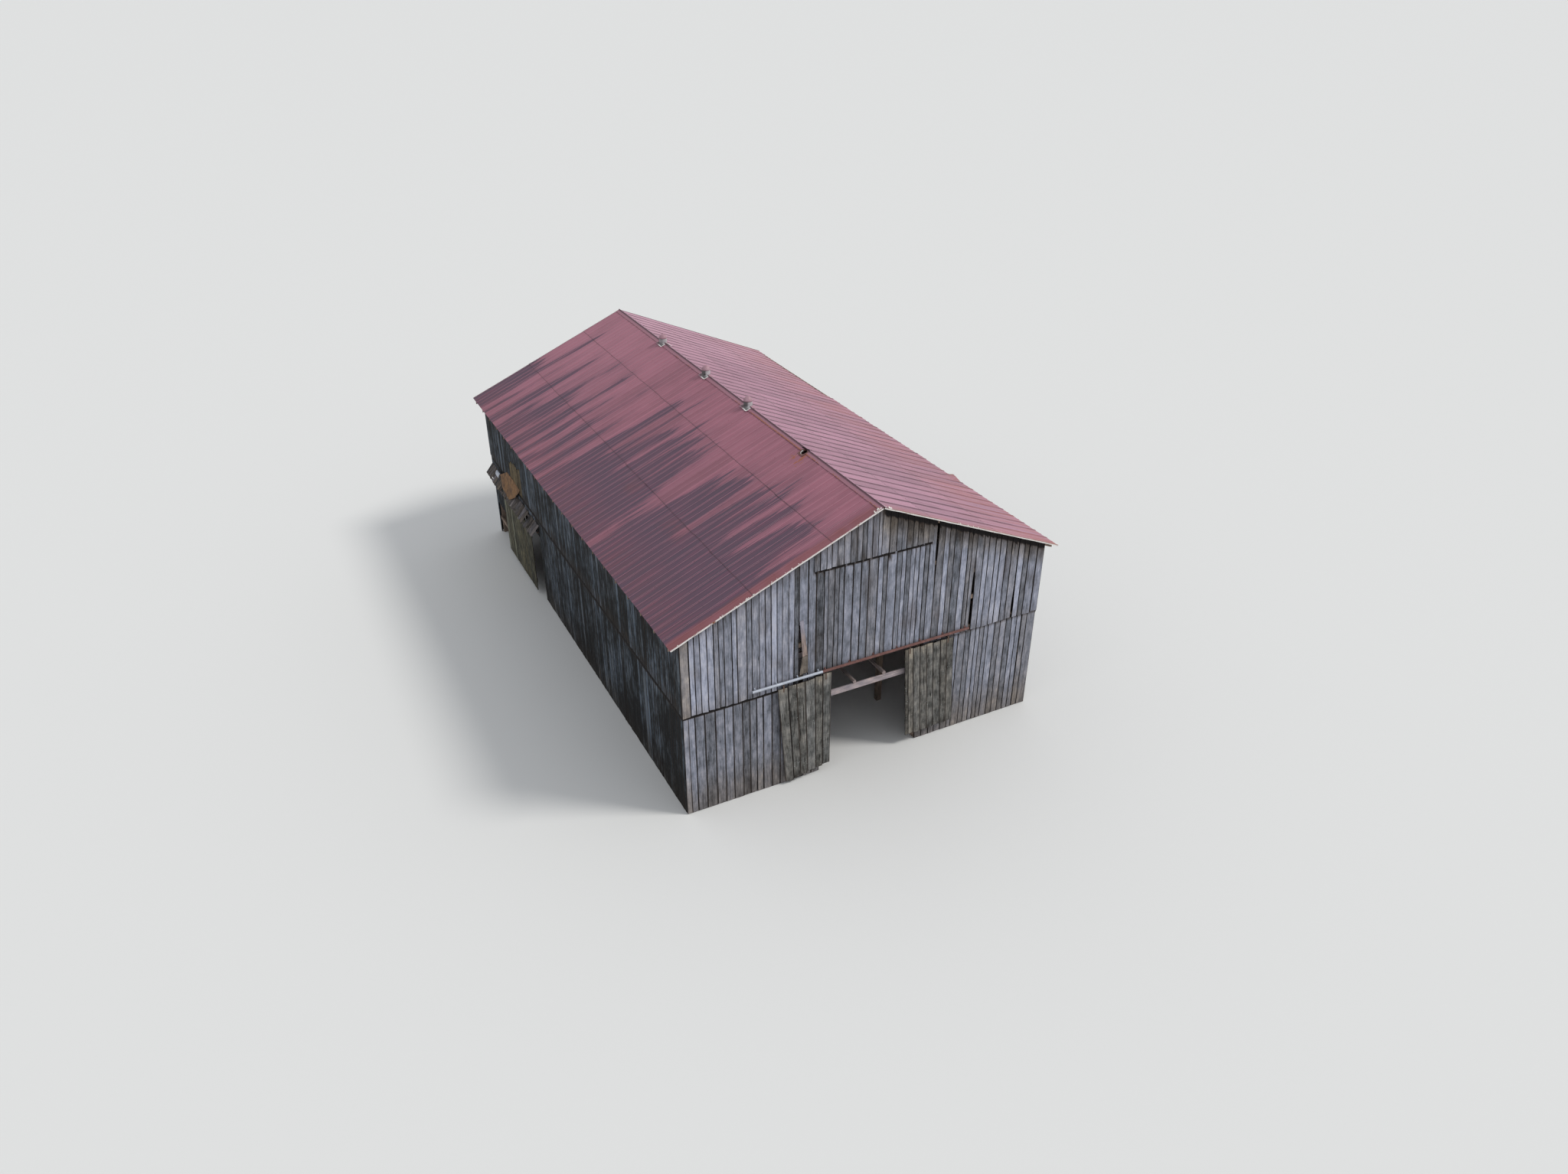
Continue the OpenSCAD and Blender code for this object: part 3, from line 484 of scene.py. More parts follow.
# A row of boards; the second of each board's last two draws only keeps the order of draws
def boarding(place, edges, v0, v1, seed, shade, heap=None, gap=0.006, skip=(), extra=None, **kw):
    heap = heap or Heap()
    r = random.Random(seed)
    for i, (a, b) in enumerate(zip(edges, edges[1:])):
        g = gap * r.uniform(0.3, 1.8)
        key = r.randrange(10 ** 6)
        own = {"light": r.gauss(0, 1.0), "warm": r.random()}
        own["drop"], _ = r.uniform(-1, 1) * 0.012, r.uniform(-1, 1)
        if i in skip:
            continue
        own.update(kw)
        own.update((extra or {}).get(i, {}))
        light, warm, drop = (own.pop(k) for k in ("light", "warm", "drop"))
        board(heap, place, a + g / 2, b - g / 2,
              lambda u, d=drop: (v0(u) if callable(v0) else v0) + d, v1, seed=key,
              tone=lambda u, v, l=light, w=warm: shade(u, v, l, w), **own)
    return heap


# Places on the four walls, at a distance from the middle of the barn
def front(y):
    return lambda u, v, w: (u, -y - w, max(v, LOWEST))


def back(y):
    return lambda u, v, w: (u, y + w, max(v, LOWEST))


def left_side(x):
    return lambda u, v, w: (-x - w, u, max(v, LOWEST))


def right_side(x):
    return lambda u, v, w: (x + w, u, max(v, LOWEST))


# Edges of the gable boards as the photograph shows them
UPPER = [-6.65, -6.36, -6.18, -6, -5.77, -5.55, -5.39, -5.22, -4.96, -4.79, -4.47, -4.3, -4.05,
         -3.85, -3.65, -3.45, -3.27, -3.05, -2.86, -2.705, -2.39, -2.11, -1.83, -1.7, -1.48, -1.32,
         -1.15, -0.83, -0.55, -0.27, 0.06, 0.25, 0.39, 0.75, 0.92, 1.08, 1.25, 1.41, 1.58, 1.78,
         1.94, 2.22, 2.49, 2.69, 2.9, 3.18, 3.44, 3.6, 3.79, 4.09, 4.28, 4.56, 4.76, 5.02, 5.24,
         5.54, 5.79, 5.99, 6.35, 6.65]
PEAK = [-2.22, -2.01, -1.79, -1.61, -1.42, -1.19, -0.97, -0.74, -0.56, -0.4, -0.21, 0, 0.13, 0.4,
        0.67, 0.85, 1.04, 1.27, 1.45, 1.65, 1.84, 2.05]
LOW_LEFT = [-6.625, -6.46, -6.24, -5.92, -5.56, -5.26, -4.96, -4.65, -4.39, -4.16, -3.93, -3.62,
            -3.33, -3.05, -2.79, -2.49, -2.18, -1.88]
LOW_RIGHT = [1.88, 2.16, 2.45, 2.69, 2.96, 3.22, 3.39, 3.7, 3.9, 4.11, 4.28, 4.46, 4.63, 4.91,
             5.14, 5.39, 5.62, 5.84, 6.05, 6.27, 6.625]


# Shades give a board's light, warmth and stain at a place on its wall; the stain also holds painted
# shade under laps, rakes and eaves
def broad(u, v):
    return 0.5 * rough(u * 0.5, v * 0.5, 3)


# Painted shadow under the right rake: the boards turn black between a and b, down to a depth
def rake_shadow(a, b, depth, u, under):
    return 1.9 * smooth(a, b, u) * smooth(depth, 0.22, under + 0.08 * rough(u * 9, 2.0))


def front_shade(u, v, light, warm):
    under = gable_top(u) - v
    near = under + 0.35 * rough(u * 3, v)
    # Darker toward the top under the rake: partly stain, partly painted shade
    stain_and_shade = 0.85 * smooth(0.75, 0.05, under + 0.3 * rough(u * 3, v))
    # The upper boards' feet and the band under the peak's lap are darkened as painted lap shadow
    stain_and_shade += 0.45 * smooth(0.16, 0.0, v - LAP - 0.03)
    if PEAK_LEFT < u < PEAK_RIGHT and v < PEAK_LAP:
        stain_and_shade = max(stain_and_shade, BLACK * smooth(0.12, 0.06, PEAK_LAP - v))
    blotch = 0.7 * smooth(0.20, 0.55, rough(u * 1.7, v * 0.9, 21.0))
    # Browner and darker toward the top on the right: partly real browning, partly painted shade
    browned_and_shaded = smooth(0.0, 0.6, u) * smooth(1.05, 0.35, near)
    light += broad(u, v) + smooth(-1.5, -3.5, u) + 0.3 * smooth(2.0, 4.0, u) - 0.8 * browned_and_shaded
    warm = 0.05 + 0.5 * max(0, warm - 0.6) + 0.1 * smooth(1.0, 0, v - LAP) + 0.5 * browned_and_shaded
    return light, warm, max(stain_and_shade, blotch, rake_shadow(0.0, 0.6, 0.34, u, under))


def front_low_shade(u, v, light, warm):
    foot = smooth(1.7, 0.1, v + 0.6 * rough(u * 2, 4.0))
    # Black just under the upper boards' feet: painted lap shadow
    return (light * 0.9 - 0.25 * foot, 0.10 + 0.35 * max(0, warm - 0.5) + 0.5 * foot,
            max(0.30 * foot, BLACK * smooth(0.125, 0.07, upper_foot(u) - v)))


def peak_shade(u, v, light, warm):
    under = gable_top(u) - v
    spot = 0.75 * smooth(0.10, 0.45, rough(u * 3.1, v * 1.6, 5.0))
    # Browner and darker toward the top on the right, and darker along the top: partly real browning
    # and stain, partly painted shade
    browned_and_shaded = smooth(-0.3, 0.4, u) * smooth(1.2, 0.4, under + 0.35 * rough(u * 3, v))
    top = 0.9 * smooth(0.62, 0.05, under + 0.35 * rough(u * 3, v * 1.5))
    return (light * 0.8 - 0.2 - 0.9 * browned_and_shaded, 0.2 + 0.4 * max(0, warm - 0.4) + 0.6 * browned_and_shaded,
            max(spot, rake_shadow(-0.1, 0.3, 0.36, u, under), top))


def plain_shade(u, v, light, warm):
    # The black band just under the lap is painted lap shadow
    stain_and_shade = 0.3 * smooth(0.9, 0.1, v) + 2.2 * smooth(0.09, 0.04, LAP + 0.01 - v)
    return light, 0.15 + 0.5 * max(0, warm - 0.5) + 0.4 * smooth(1.4, 0.1, v), stain_and_shade


def back_shade(u, v, light, warm):
    covered = abs(u) < BACK_PEAK and v < PEAK_LAP
    # Black under the peak's lap: painted lap shadow
    lap = BLACK * smooth(0.12, 0.06, PEAK_LAP - v) if covered else 0.0
    # Darker toward the top under the rakes: partly stain, partly painted shade
    top = 0.85 * smooth(0.75, 0.05, gable_top(u) - v + 0.3 * rough(u * 3, v))
    return light + broad(u, v), 0.05 + 0.5 * max(0, warm - 0.6), max(lap, top)


def eave_shade(u, v, light, warm):
    # Darker toward the top under the eaves: partly stain, partly painted shade
    stain_and_shade = 0.7 * smooth(0.7, 0.05, WALL_TOP - v + 0.25 * rough(u * 2))
    # The upper boards' feet are darkened as painted lap shadow
    return (light, 0.15 + 0.5 * max(0, warm - 0.5),
            stain_and_shade + 0.5 * smooth(0.12, 0.0, v - LAP - 0.03))


# The shaded left wall has broad dark and pale patches, partly painted shadow of foliage and painted
# highlight
def patchy(shade):
    def patched(u, v, light, warm):
        light, warm, stain_and_shade = shade(u, v, light, warm)
        # Black just under the lap: painted lap shadow
        if v < LAP:
            stain_and_shade = max(stain_and_shade, 2.2 * smooth(0.20, 0.14, LAP - v))
        patches = 4.5 * rough(u * 0.55, v * 0.6, 33.0) + 3.0 * rough(u * 2.1, v * 0.9, 3.0)
        return 2.0 * light - 0.9 * smooth(2.5, 0.4, v) + patches, warm, stain_and_shade
    return patched


# Heights where a board gets points of its own, so that its shading has somewhere to change
def under_lap(u):
    return [min(upper_foot(u), LAP + 0.02) - d for d in (0.40, 0.125, 0.095, 0.07)]


def under_rake(u):
    return [gable_top(u) - d for d in (0.95, 0.60, 0.36, 0.28, 0.20)] if u > -0.3 else []


def under_peak(u):
    return [PEAK_LAP - d for d in (0.40, 0.12, 0.09, 0.06)] + under_rake(u)


def under_left(u):
    return [LAP - d for d in (0.45, 0.20, 0.17, 0.14)]


# The upper boards' lower ends rise to the right and clear the door track over the doorway
def upper_foot(u):
    return 3.97 if abs(u) < 1.94 else 3.800 + 0.115 * smooth(-5.5, 4.2, u)


# One wall of boards, as one piece that stands for its CAD node
def wall(name, node, place, edges, v0, v1, seed, shade, wood=front_wood, slot="front_boards", **kw):
    kw = {"gap": GAP, "ragged": RAGGED, "joint": JOINT, **kw}
    boarding(place, edges, v0, v1, seed, shade, **kw).build(name, [wood], slot, [node])


# Parts of an edge that give way to a split between two boards
def notch(centre, half, depth):
    return lambda v: depth * max(0.0, 1 - ((v - centre) / half) ** 2)


def wedge(a, b, depth):
    return lambda v: depth * smooth(a, b, v)


# Boards of the front that are paler or warmer than their neighbours, or split
UPPER_EXTRA = {
    0: {"light": 0.6, "warm": 1.9, "drop": -0.02}, 1: {"light": 1.9, "warm": 0.2},
    2: {"light": 0.3}, 3: {"light": 1.5, "warm": 0.0}, 4: {"light": 1.1, "warm": 0.1},
    5: {"light": -0.2, "warm": 1.0}, 12: {"light": 0.9}, 14: {"light": 1.9, "warm": 0.0},
    17: {"right": lambda v: 0.0 if v > 5.5 else -0.02}, 32: {"light": 1.1, "warm": 0.0},
    40: {"right": wedge(5.6, 7.5, -0.034)}, 41: {"left": wedge(6.3, 7.7, 0.036)},
    45: {"light": 1.2}, 46: {"warm": 1.2, "light": -0.6},
    47: {"right": wedge(6.65, 5.6, -0.041), "warm": 1.1, "light": 0.1},
    48: {"left": wedge(6.8, 5.3, 0.044), "light": 0.3}, 52: {"light": 2.0, "warm": 0.0},
    54: {"right": notch(4.36, 0.75, -0.036)}, 55: {"left": notch(4.36, 0.75, 0.027)},
    58: {"light": 1.0, "warm": 0.2},
}
PEAK_EXTRA = {8: {"right": lambda v: -0.014}, 9: {"light": 1.6}, 10: {"light": 1.8},
              11: {"light": 1.9}}
LOW_LEFT_EXTRA = {0: {"light": 1.8, "warm": 1.1}, 1: {"light": 1.2}}
LOW_RIGHT_EXTRA = {9: {"light": 0.9}, 12: {"light": 1.1}, 14: {"light": 0.9}, 16: {"light": 1.5},
                   17: {"right": lambda v: -0.014}, 19: {"light": 0.2, "warm": 0.9},
                   18: {"left": lambda v: 0.012, "warm": 1.3, "light": 0.5}}

# The board over the slot is left out, and stands as two parts with the slot beside them
SLOT_BOARD, SLOT_X0, SLOT_X1, SLOT_TOP = 19, -2.703, -2.553, 5.965
heap = boarding(front(LOWER_L), UPPER, upper_foot, gable_top, 11, front_shade, gap=0.013,
                extra=UPPER_EXTRA, ragged=0.014, skip=(SLOT_BOARD,), joint=JOINT, cuts=under_peak)
for u0, v0, v1 in ((SLOT_X1, upper_foot, SLOT_TOP), (SLOT_X0, SLOT_TOP + 0.008, gable_top)):
    board(heap, front(LOWER_L), u0, UPPER[SLOT_BOARD + 1] - 0.006, v0, v1, seed=12, ragged=0.014,
          joint=JOINT, tone=lambda u, v: front_shade(u, v, 0.2, 0.4))
heap.build("front_upper_boards", [front_wood], "front_boards", ["front_wall_upper"])

wall("front_peak_boards", "front_wall_peak", front(HALF_L), PEAK, PEAK_LAP, gable_top, 23,
     peak_shade, gap=0.009, ragged=0.006, cuts=under_rake, extra=PEAK_EXTRA)
wall("front_left_boards", "front_wall_left", front(FRAME_L), LOW_LEFT, GROUND, LOWER_TOP, 31,
     front_low_shade, gap=0.013, cuts=under_lap, extra=LOW_LEFT_EXTRA)
wall("front_right_boards", "front_wall_right", front(FRAME_L), LOW_RIGHT, GROUND, LOWER_TOP, 47,
     front_low_shade, gap=0.013, cuts=under_lap, extra=LOW_RIGHT_EXTRA)


# A part of the loose board between two heights, from its two foot edges to its two head edges
def loose_piece(z0, z1, foot, head, out):
    def place(u, v, w):
        t = (v - z0) / (z1 - z0)
        x = lerp(lerp(foot[0], head[0], t), lerp(foot[1], head[1], t), u)
        return x, -HALF_L - 0.001 - w - out * sin(pi * t), v
    return place


# The loose board is broken in two: a brown stub, and a pale length that leans over the slot
heap = Heap()
for z0, z1, foot, head, out, mat, tone in (
        (4.16, 4.80, (-2.665, -2.395), (-2.576, -2.395), 0.0, 0, (-0.9, 1.1, 0.1)),
        (4.82, 6.12, (-2.576, -2.405), (-2.680, -2.556), 0.006, 1,
         lambda u, v: (0.8, 0.9 * smooth(6.1, 5.2, v), 0.0))):
    board(heap, loose_piece(z0, z1, foot, head, out), 0.0, 1.0, z0, z1, 0.022, seed=5, tone=tone,
          step=0.1, ragged=0.03, wander=0.02, bow=0.0, cup=0.0, mat=mat)
heap.grain = [(g[0] * 0.16, g[1], g[2]) for g in heap.grain]
heap.build("loose_board_wood", [front_wood, pale_wood], "loose_wood", ["loose_board"])

# The back gable and the right wall repeat the same boarding in random widths
BACK_PEAK = -PEAK_LEFT - 0.17
wall("back_upper_boards", "back_wall_upper", back(LOWER_L), random_edges(-HALF_W, HALF_W, 61),
     LAP + 0.01, gable_top, 62, back_shade, cuts=under_peak)
wall("back_peak_boards", "back_wall_peak", back(HALF_L), random_edges(-BACK_PEAK, BACK_PEAK, 63),
     PEAK_LAP, gable_top, 64, peak_shade, gap=0.009, ragged=0.006)
wall("back_lower_boards", "back_wall_lower", back(FRAME_L), random_edges(-LOWER_W, LOWER_W, 65),
     GROUND, LOWER_TOP, 66, plain_shade, cuts=under_lap)
wall("right_upper_boards", "right_wall_upper", right_side(LOWER_W),
     random_edges(-LOWER_L, LOWER_L, 71), LAP + 0.01, WALL_TOP, 72, eave_shade, cuts=under_lap)
wall("right_lower_boards", "right_wall_lower", right_side(FRAME_W),
     random_edges(-FRAME_L, FRAME_L, 73), GROUND, LOWER_TOP, 74, plain_shade, cuts=under_lap)

# The left wall, with ochre boards over the hood, the side doorway and the broken boards behind
DOOR_Y0, DOOR_Y1, DOOR_H = 3.88, 8.305, 2.97
HOLE_Y0, HOLE_Y1, HOLE_H = 9.215, FRAME_L - 0.12, 1.565
OCHRE_Y0, OCHRE_Y1, OCHRE_TOP = 6.0, 7.5, 4.95
upper_left, lower_left = left_side(LOWER_W), left_side(FRAME_W)
low_patches = patchy(plain_shade)
edges = random_edges(-LOWER_L, LOWER_L, 81)
ochre = [i for i, (a, b) in enumerate(zip(edges, edges[1:])) if OCHRE_Y0 < (a + b) / 2 < OCHRE_Y1]
heap = boarding(upper_left, edges, LAP + 0.02, WALL_TOP, 82, patchy(eave_shade), gap=0.016,
                ragged=0.018, joint=JOINT, skip=ochre)
for i in ochre:
    a, b = edges[i] + 0.008, edges[i + 1] - 0.008
    split = OCHRE_TOP + 0.25 * rough(i * 3.3)
    board(heap, upper_left, a, b, LAP + 0.02, split, seed=i, tone=(0.3, 0.9, 0.1), ragged=0.04,
          step=0.15, bow=0.012, joint=1.6, mat=1)
    board(heap, upper_left, a, b, split + 0.03, WALL_TOP, seed=i + 500, ragged=0.03, joint=JOINT,
          tone=lambda u, v: eave_shade(u, v, 0.2, 0.6))
heap.build("left_upper_boards", [side_wood, ochre_wood], "side_boards", ["left_wall_upper"])
wall("left_front_boards", "left_wall_front", lower_left, random_edges(-FRAME_L, DOOR_Y0, 83),
     GROUND, LOWER_TOP, 84, low_patches, side_wood, "side_boards", gap=0.016, cuts=under_left)
wall("left_over_door_boards", "left_wall_over_door", lower_left,
     random_edges(DOOR_Y0, DOOR_Y1, 85), DOOR_H, LOWER_TOP, 86, low_patches, side_wood,
     "side_boards", gap=0.016, ragged=0.006, cuts=under_left)
heap = Heap()
for y0, y1, foot, seed, ragged in ((DOOR_Y1, HOLE_Y0, GROUND, 87, 0.006),
                                   (HOLE_Y0, HOLE_Y1, HOLE_H, 88, 0.05)):
    boarding(lower_left, random_edges(y0, y1, seed), foot, LOWER_TOP, seed, low_patches, heap,
             gap=0.016, ragged=ragged, joint=JOINT, cuts=under_left)
boarding(lower_left, [HOLE_Y1, FRAME_L], GROUND, LOWER_TOP, 89, low_patches, heap)
heap.build("left_back_boards", [side_wood], "side_boards", ["left_wall_back"])

# Roof sheets: two ribs by each seam of a sheet and one in the middle
RIB_H, RIB_W, RIB_OFF = 0.016, 0.036, 0.027
RIBS = [RIB_OFF, COVER / 2, COVER - RIB_OFF, COVER + RIB_OFF]
OVERLAP = RIB_OFF + RIB_W / 2 + 0.004
ACROSS = [0.0, COVER + OVERLAP] + [r + d for r in RIBS for d in (-RIB_W / 2, 0, RIB_W / 2)]
ACROSS += [COVER * k for k in (0.15, 0.22, 0.29, 0.36, 0.43, 0.57, 0.64, 0.71, 0.78, 0.85)]
ACROSS = sorted(a for a in set(ACROSS) if a <= COVER + OVERLAP)
SHEET_START, SHEET_END, END_OVER = 0.018, SLOPE_L - 0.002, 0.12
ROWS = [(SHEET_START, END_LAPS[0]), (END_LAPS[0] - END_OVER, END_LAPS[1]),
        (END_LAPS[1] - END_OVER, SHEET_END)]
# A sheet's thickness, its height over the roof at its top, and how much it rises to its foot
SHEET_T, SHEET_SEAT, SHEET_RISE = 0.0012, 0.0015, 0.0028
# Place and lift of the torn sheet, and depth of the painted shadow line at a sheet's foot
TORN_Y, TORN_LIFT, FOOT_EDGE = -5.70, 0.085, 0.034
# Close rows of points by the hole of the lost ventilator
HOLE_STEP, HOLE_ROWS = 0.022, 14

# Soot on the left slope: place along the ridge, half width, start below the ridge, strength
GROUPS = [
    (10.85, 0.42, 4.0, 0.80), (10.06, 0.19, 1.2, 0.62), (9.20, 0.14, 2.4, 0.36),
    (8.18, 0.24, 2.1, 0.70), (7.35, 0.16, 3.0, 0.42), (6.49, 0.46, 1.6, 0.62),
    (5.15, 0.32, 1.7, 0.60), (4.25, 0.20, 2.7, 0.52), (3.27, 0.27, 1.45, 0.50),
    (2.20, 0.26, 3.2, 0.50), (1.03, 0.27, 1.2, 0.86), (0.24, 0.17, 0.7, 0.5),
    (-0.42, 0.36, 2.1, 0.70), (-1.27, 0.27, 1.6, 0.74), (-2.0, 0.27, 1.6, 0.78),
    (-2.91, 0.48, 1.9, 0.66), (-5.03, 0.30, 2.1, 0.70), (-5.88, 0.48, 1.7, 0.80),
    (-6.97, 0.30, 1.45, 0.66), (-7.64, 0.36, 0.9, 0.72), (-8.61, 0.39, 1.3, 0.74),
    (-9.76, 0.67, 1.45, 0.80), (-10.85, 0.17, 1.8, 0.58)]


def rib_height(a):
    return max(max(0.0, 1 - abs(a - r) / (RIB_W / 2)) for r in RIBS)


# Soot, rust and marks of the two slopes, at a place along the ridge and down the slope
def soot_left(y, s):
    total = 0.0
    for centre, half, start, strength in GROUPS:
        spread = half * (1.15 + 0.30 * smooth(2.0, 6.0, s))
        near = exp(-((y - centre - 0.05 * (s - 3.6)) / spread) ** 2)
        below = smooth(start - 0.6, start + 0.9, s + 1.1 * rough(y * 7, 5.0))
        total = max(total, near * strength * below)
    near_half = smooth(2.4, -1.2, y)
    veil = (0.30 + 0.26 * near_half) * smooth(3.1, 6.6, s + 1.1 * rough(y * 0.7, 9.0))
    veil += 0.10 * near_half * smooth(1.9, 3.1, s)
    soot = (total * 1.12 + veil * 0.95) * smooth(-11.18, -10.80, y)
    return min(1.0, max(0.0, soot * (1 + 0.5 * rough(y * 2.3, s * 0.5, 3.0))))


def soot_right(y, s):
    return 0.10 + 0.12 * rough(y * 0.7, s * 0.5, 2.0)


def rust_left(y, s):
    hole = 0.60 * smooth(0.75, 0.15, hypot(y - BROKEN_Y + 0.08, (s - 0.42) * 0.9))
    lap = 0.16 * smooth(0.25, 0, abs(s - END_LAPS[1] - 0.1))
    lap *= smooth(-4.9, -5.5, y) * smooth(-7.4, -6.6, y)
    return max(0.0, hole * (0.7 + rough(y * 9, s * 5, 2.0))) + lap + 0.12 * smooth(6.9, 7.6, s)


def rust_right(y, s):
    return (0.30 * smooth(-10.9, -11.2, y) + 0.16 * smooth(6.8, 7.6, s)
            + 0.08 * smooth(0.35, 0.1, s))


def mark_left(y, s):
    rake = smooth(-10.80, -11.02, y + 0.06 * rough(s * 2.0, 3.0)) * (0.75 + 0.5 * rough(s * 3, 8.0))
    patch = smooth(1.1, 0.2, abs(y + 6.1)) + smooth(0.7, 0.1, abs(y + 2.45))
    patch *= 0.5 * smooth(0.5, 0.0, abs(s - END_LAPS[1] - 0.35))
    foot = 0.30 * smooth(5.6, 7.4, s) * max(0.0, 0.5 + rough(y * 6, s * 0.3, 6.0))
    brick = rake + max(0.0, patch) * max(0.0, 0.5 + rough(y * 8, s, 6.0)) + foot
    return min(1.0, brick), 0.30 * smooth(1.0, 9.0, y) * smooth(8.0, 1.0, s), 0.0


# Toward the back the right slope turns paler as painted sheen
def mark_right(y, s):
    rake = 0.45 * smooth(-10.7, -11.2, y + 0.10 * rough(s * 2.0, 3.0))
    foot = (0.60 + 0.30 * smooth(-4.0, -9.0, y)) * smooth(3.0, 7.2, s)
    foot *= max(0.0, 0.5 + rough(y * 5, s * 0.4, 6.0))
    return rake + foot, 0.55 * smooth(3.0, 9.5, y) + 0.1 * rough(y * 0.3, s * 0.3, 4.0), 0.0


def wave_left(y, s):
    return 0.005 * rough(y * 0.4, s * 0.4, 1.0) + 0.0015 * rough(y * 1.9, s * 0.9, 4.0)


def wave_right(y, s):
    droop = 0.024 * smooth(6.8, SLOPE_L, s) * smooth(4.0, 4.5, y) * smooth(11.3, 9.7, y)
    broad_wave = 0.010 * rough(y * 0.45, s * 0.4, 11.0) * smooth(0.25, 1.4, s)
    return broad_wave + 0.003 * rough(y * 1.6, s * 0.8, 14.0) - droop


def slope_place(side, y, s, w):
    return side * min(s * COS_P + w * SIN_P, LIMIT_X), y, RIDGE - s * SIN_P + w * COS_P


def in_hole(p):
    return hypot(p[0] - BROKEN_X, p[1] - BROKEN_Y) < BROKEN_R


def roof_sheets(side, wave, soot, rust, mark, seed):
    heap = Heap()
    r = random.Random(seed)
    m = len(ACROSS)
    for i in range(SHEETS):
        y0 = -ROOF_Y + i * COVER
        for row, (s0, s1) in enumerate(ROWS):
            key = r.uniform(0, 60)
            uneven = 4.0 if side > 0 and row == 2 else 1.0
            end = r.uniform(-0.010, 0.0) * uneven if row == 2 else r.uniform(-0.014, 0.010)
            skew, lift = r.uniform(-1, 1) * 0.004 * uneven, r.uniform(0, 0.0015)
            curl = r.uniform(0, 1) ** 4 * 0.012
            torn = side > 0 and row == 2 and abs(y0 + COVER / 2 - TORN_Y) < COVER / 2
            n = 8 if row == 0 else 10
            holed = side < 0 and row == 0 and abs(y0 + COVER / 2 - BROKEN_Y) < COVER / 2 + BROKEN_R
            fine = [HOLE_STEP * k / (s1 - s0) for k in range(HOLE_ROWS)] if holed else []
            stations = fine + [k / n for k in range(n) if not fine or k / n > fine[-1]]
            stations += [1 - FOOT_EDGE / (s1 - s0), 1.0]
            top, low, grain, tones, marks = [], [], [], [], []
            for t in stations:
                # A sheet that laps over the next gets a painted shadow line along its foot
                last = 0.95 if t > 0.999 and row < 2 else 0.0
                for a in ACROSS:
                    s = min(lerp(s0, s1 + end + skew * (a / COVER - 0.5), t), SHEET_END)
                    y = min(y0 + a, ROOF_Y)
                    h = rib_height(a)
                    w = SHEET_SEAT + SHEET_RISE * t + lift
                    w += 0.0008 * smooth(COVER * 0.9, COVER, a)
                    w += h * RIB_H + wave(y, s)
                    w += curl * smooth(0.93, 1.0, t) * smooth(0.2, 0.9, a / COVER)
                    if torn:
                        w += TORN_LIFT * smooth(0.80, 1.0, t) * smooth(COVER * 0.25, COVER * 0.9, a)
                    top.append(slope_place(side, y, s, w))
                    low.append(slope_place(side, y, s, w - SHEET_T))
                    grain.append((y, s, key))
                    tones.append((soot(y, s), rust(y, s) + (0.3 if torn and t > 0.85 else 0), h))
                    brick, fade_and_sheen, edge = mark(y, s)
                    marks.append((brick, fade_and_sheen, max(edge, last)))
            count, rows = len(top), len(stations) - 1
            faces = quads(rows, m)
            if holed:
                faces = [q for q in faces if not any(in_hole(top[j]) for j in q)]
            heap.add(top + low, two_sided(faces, count) + rim(rows, m, count), grain * 2,
                     tones * 2, mark=marks * 2)
    return heap


roof_sheets(-1, wave_left, soot_left, rust_left, mark_left, 101).build(
    "left_sheets", [red_left], "red_roof_left", ["roof_left"], angle=25)
roof_sheets(1, wave_right, soot_right, rust_right, mark_right, 102).build(
    "right_sheets", [red_right], "red_roof_right", ["roof_right"], angle=25)


# Nails with washers along the ribs, over the battens
def nails(side, wave, seed):
    heap = Heap()
    r = random.Random(seed)
    sides = 6
    up = Vector((side * SIN_P, 0, COS_P)).normalized()
    a_way = up.orthogonal().normalized()
    b_way = up.cross(a_way)
    turn = [2 * pi * k / sides for k in range(sides)]
    cone = [(k, (k + 1) % sides, sides) for k in range(sides)] + [tuple(range(sides - 1, -1, -1))]
    lines = [0.19 + k * (SLOPE_L - 0.3) / 10 for k in range(11)]
    lines[2], lines[6] = END_LAPS[0] - 0.04, END_LAPS[1] - 0.04
    for s in lines:
        for i in range(SHEETS):
            for a in (RIBS[1], RIBS[2]):
                y = -ROOF_Y + i * COVER + a + r.uniform(-0.004, 0.004)
                if r.random() < 0.12 or hypot(y - BROKEN_Y, s) < 0.3:
                    continue
                ss = s + r.uniform(-0.012, 0.012)
                c = Vector(slope_place(side, y, ss, 0.0035 + RIB_H + wave(y, ss)))
                radius = r.uniform(0.007, 0.011)
                ring = [c + radius * (cos(t) * a_way + sin(t) * b_way) for t in turn]
                heap.add([tuple(p) for p in ring] + [tuple(c + up * 0.006)], cone)
    return heap


nails(-1, wave_left, 111).build("left_roof_nails", [rust_red], "galvanised", angle=60)
nails(1, wave_right, 112).build("right_roof_nails", [red_right], "galvanised", angle=60)
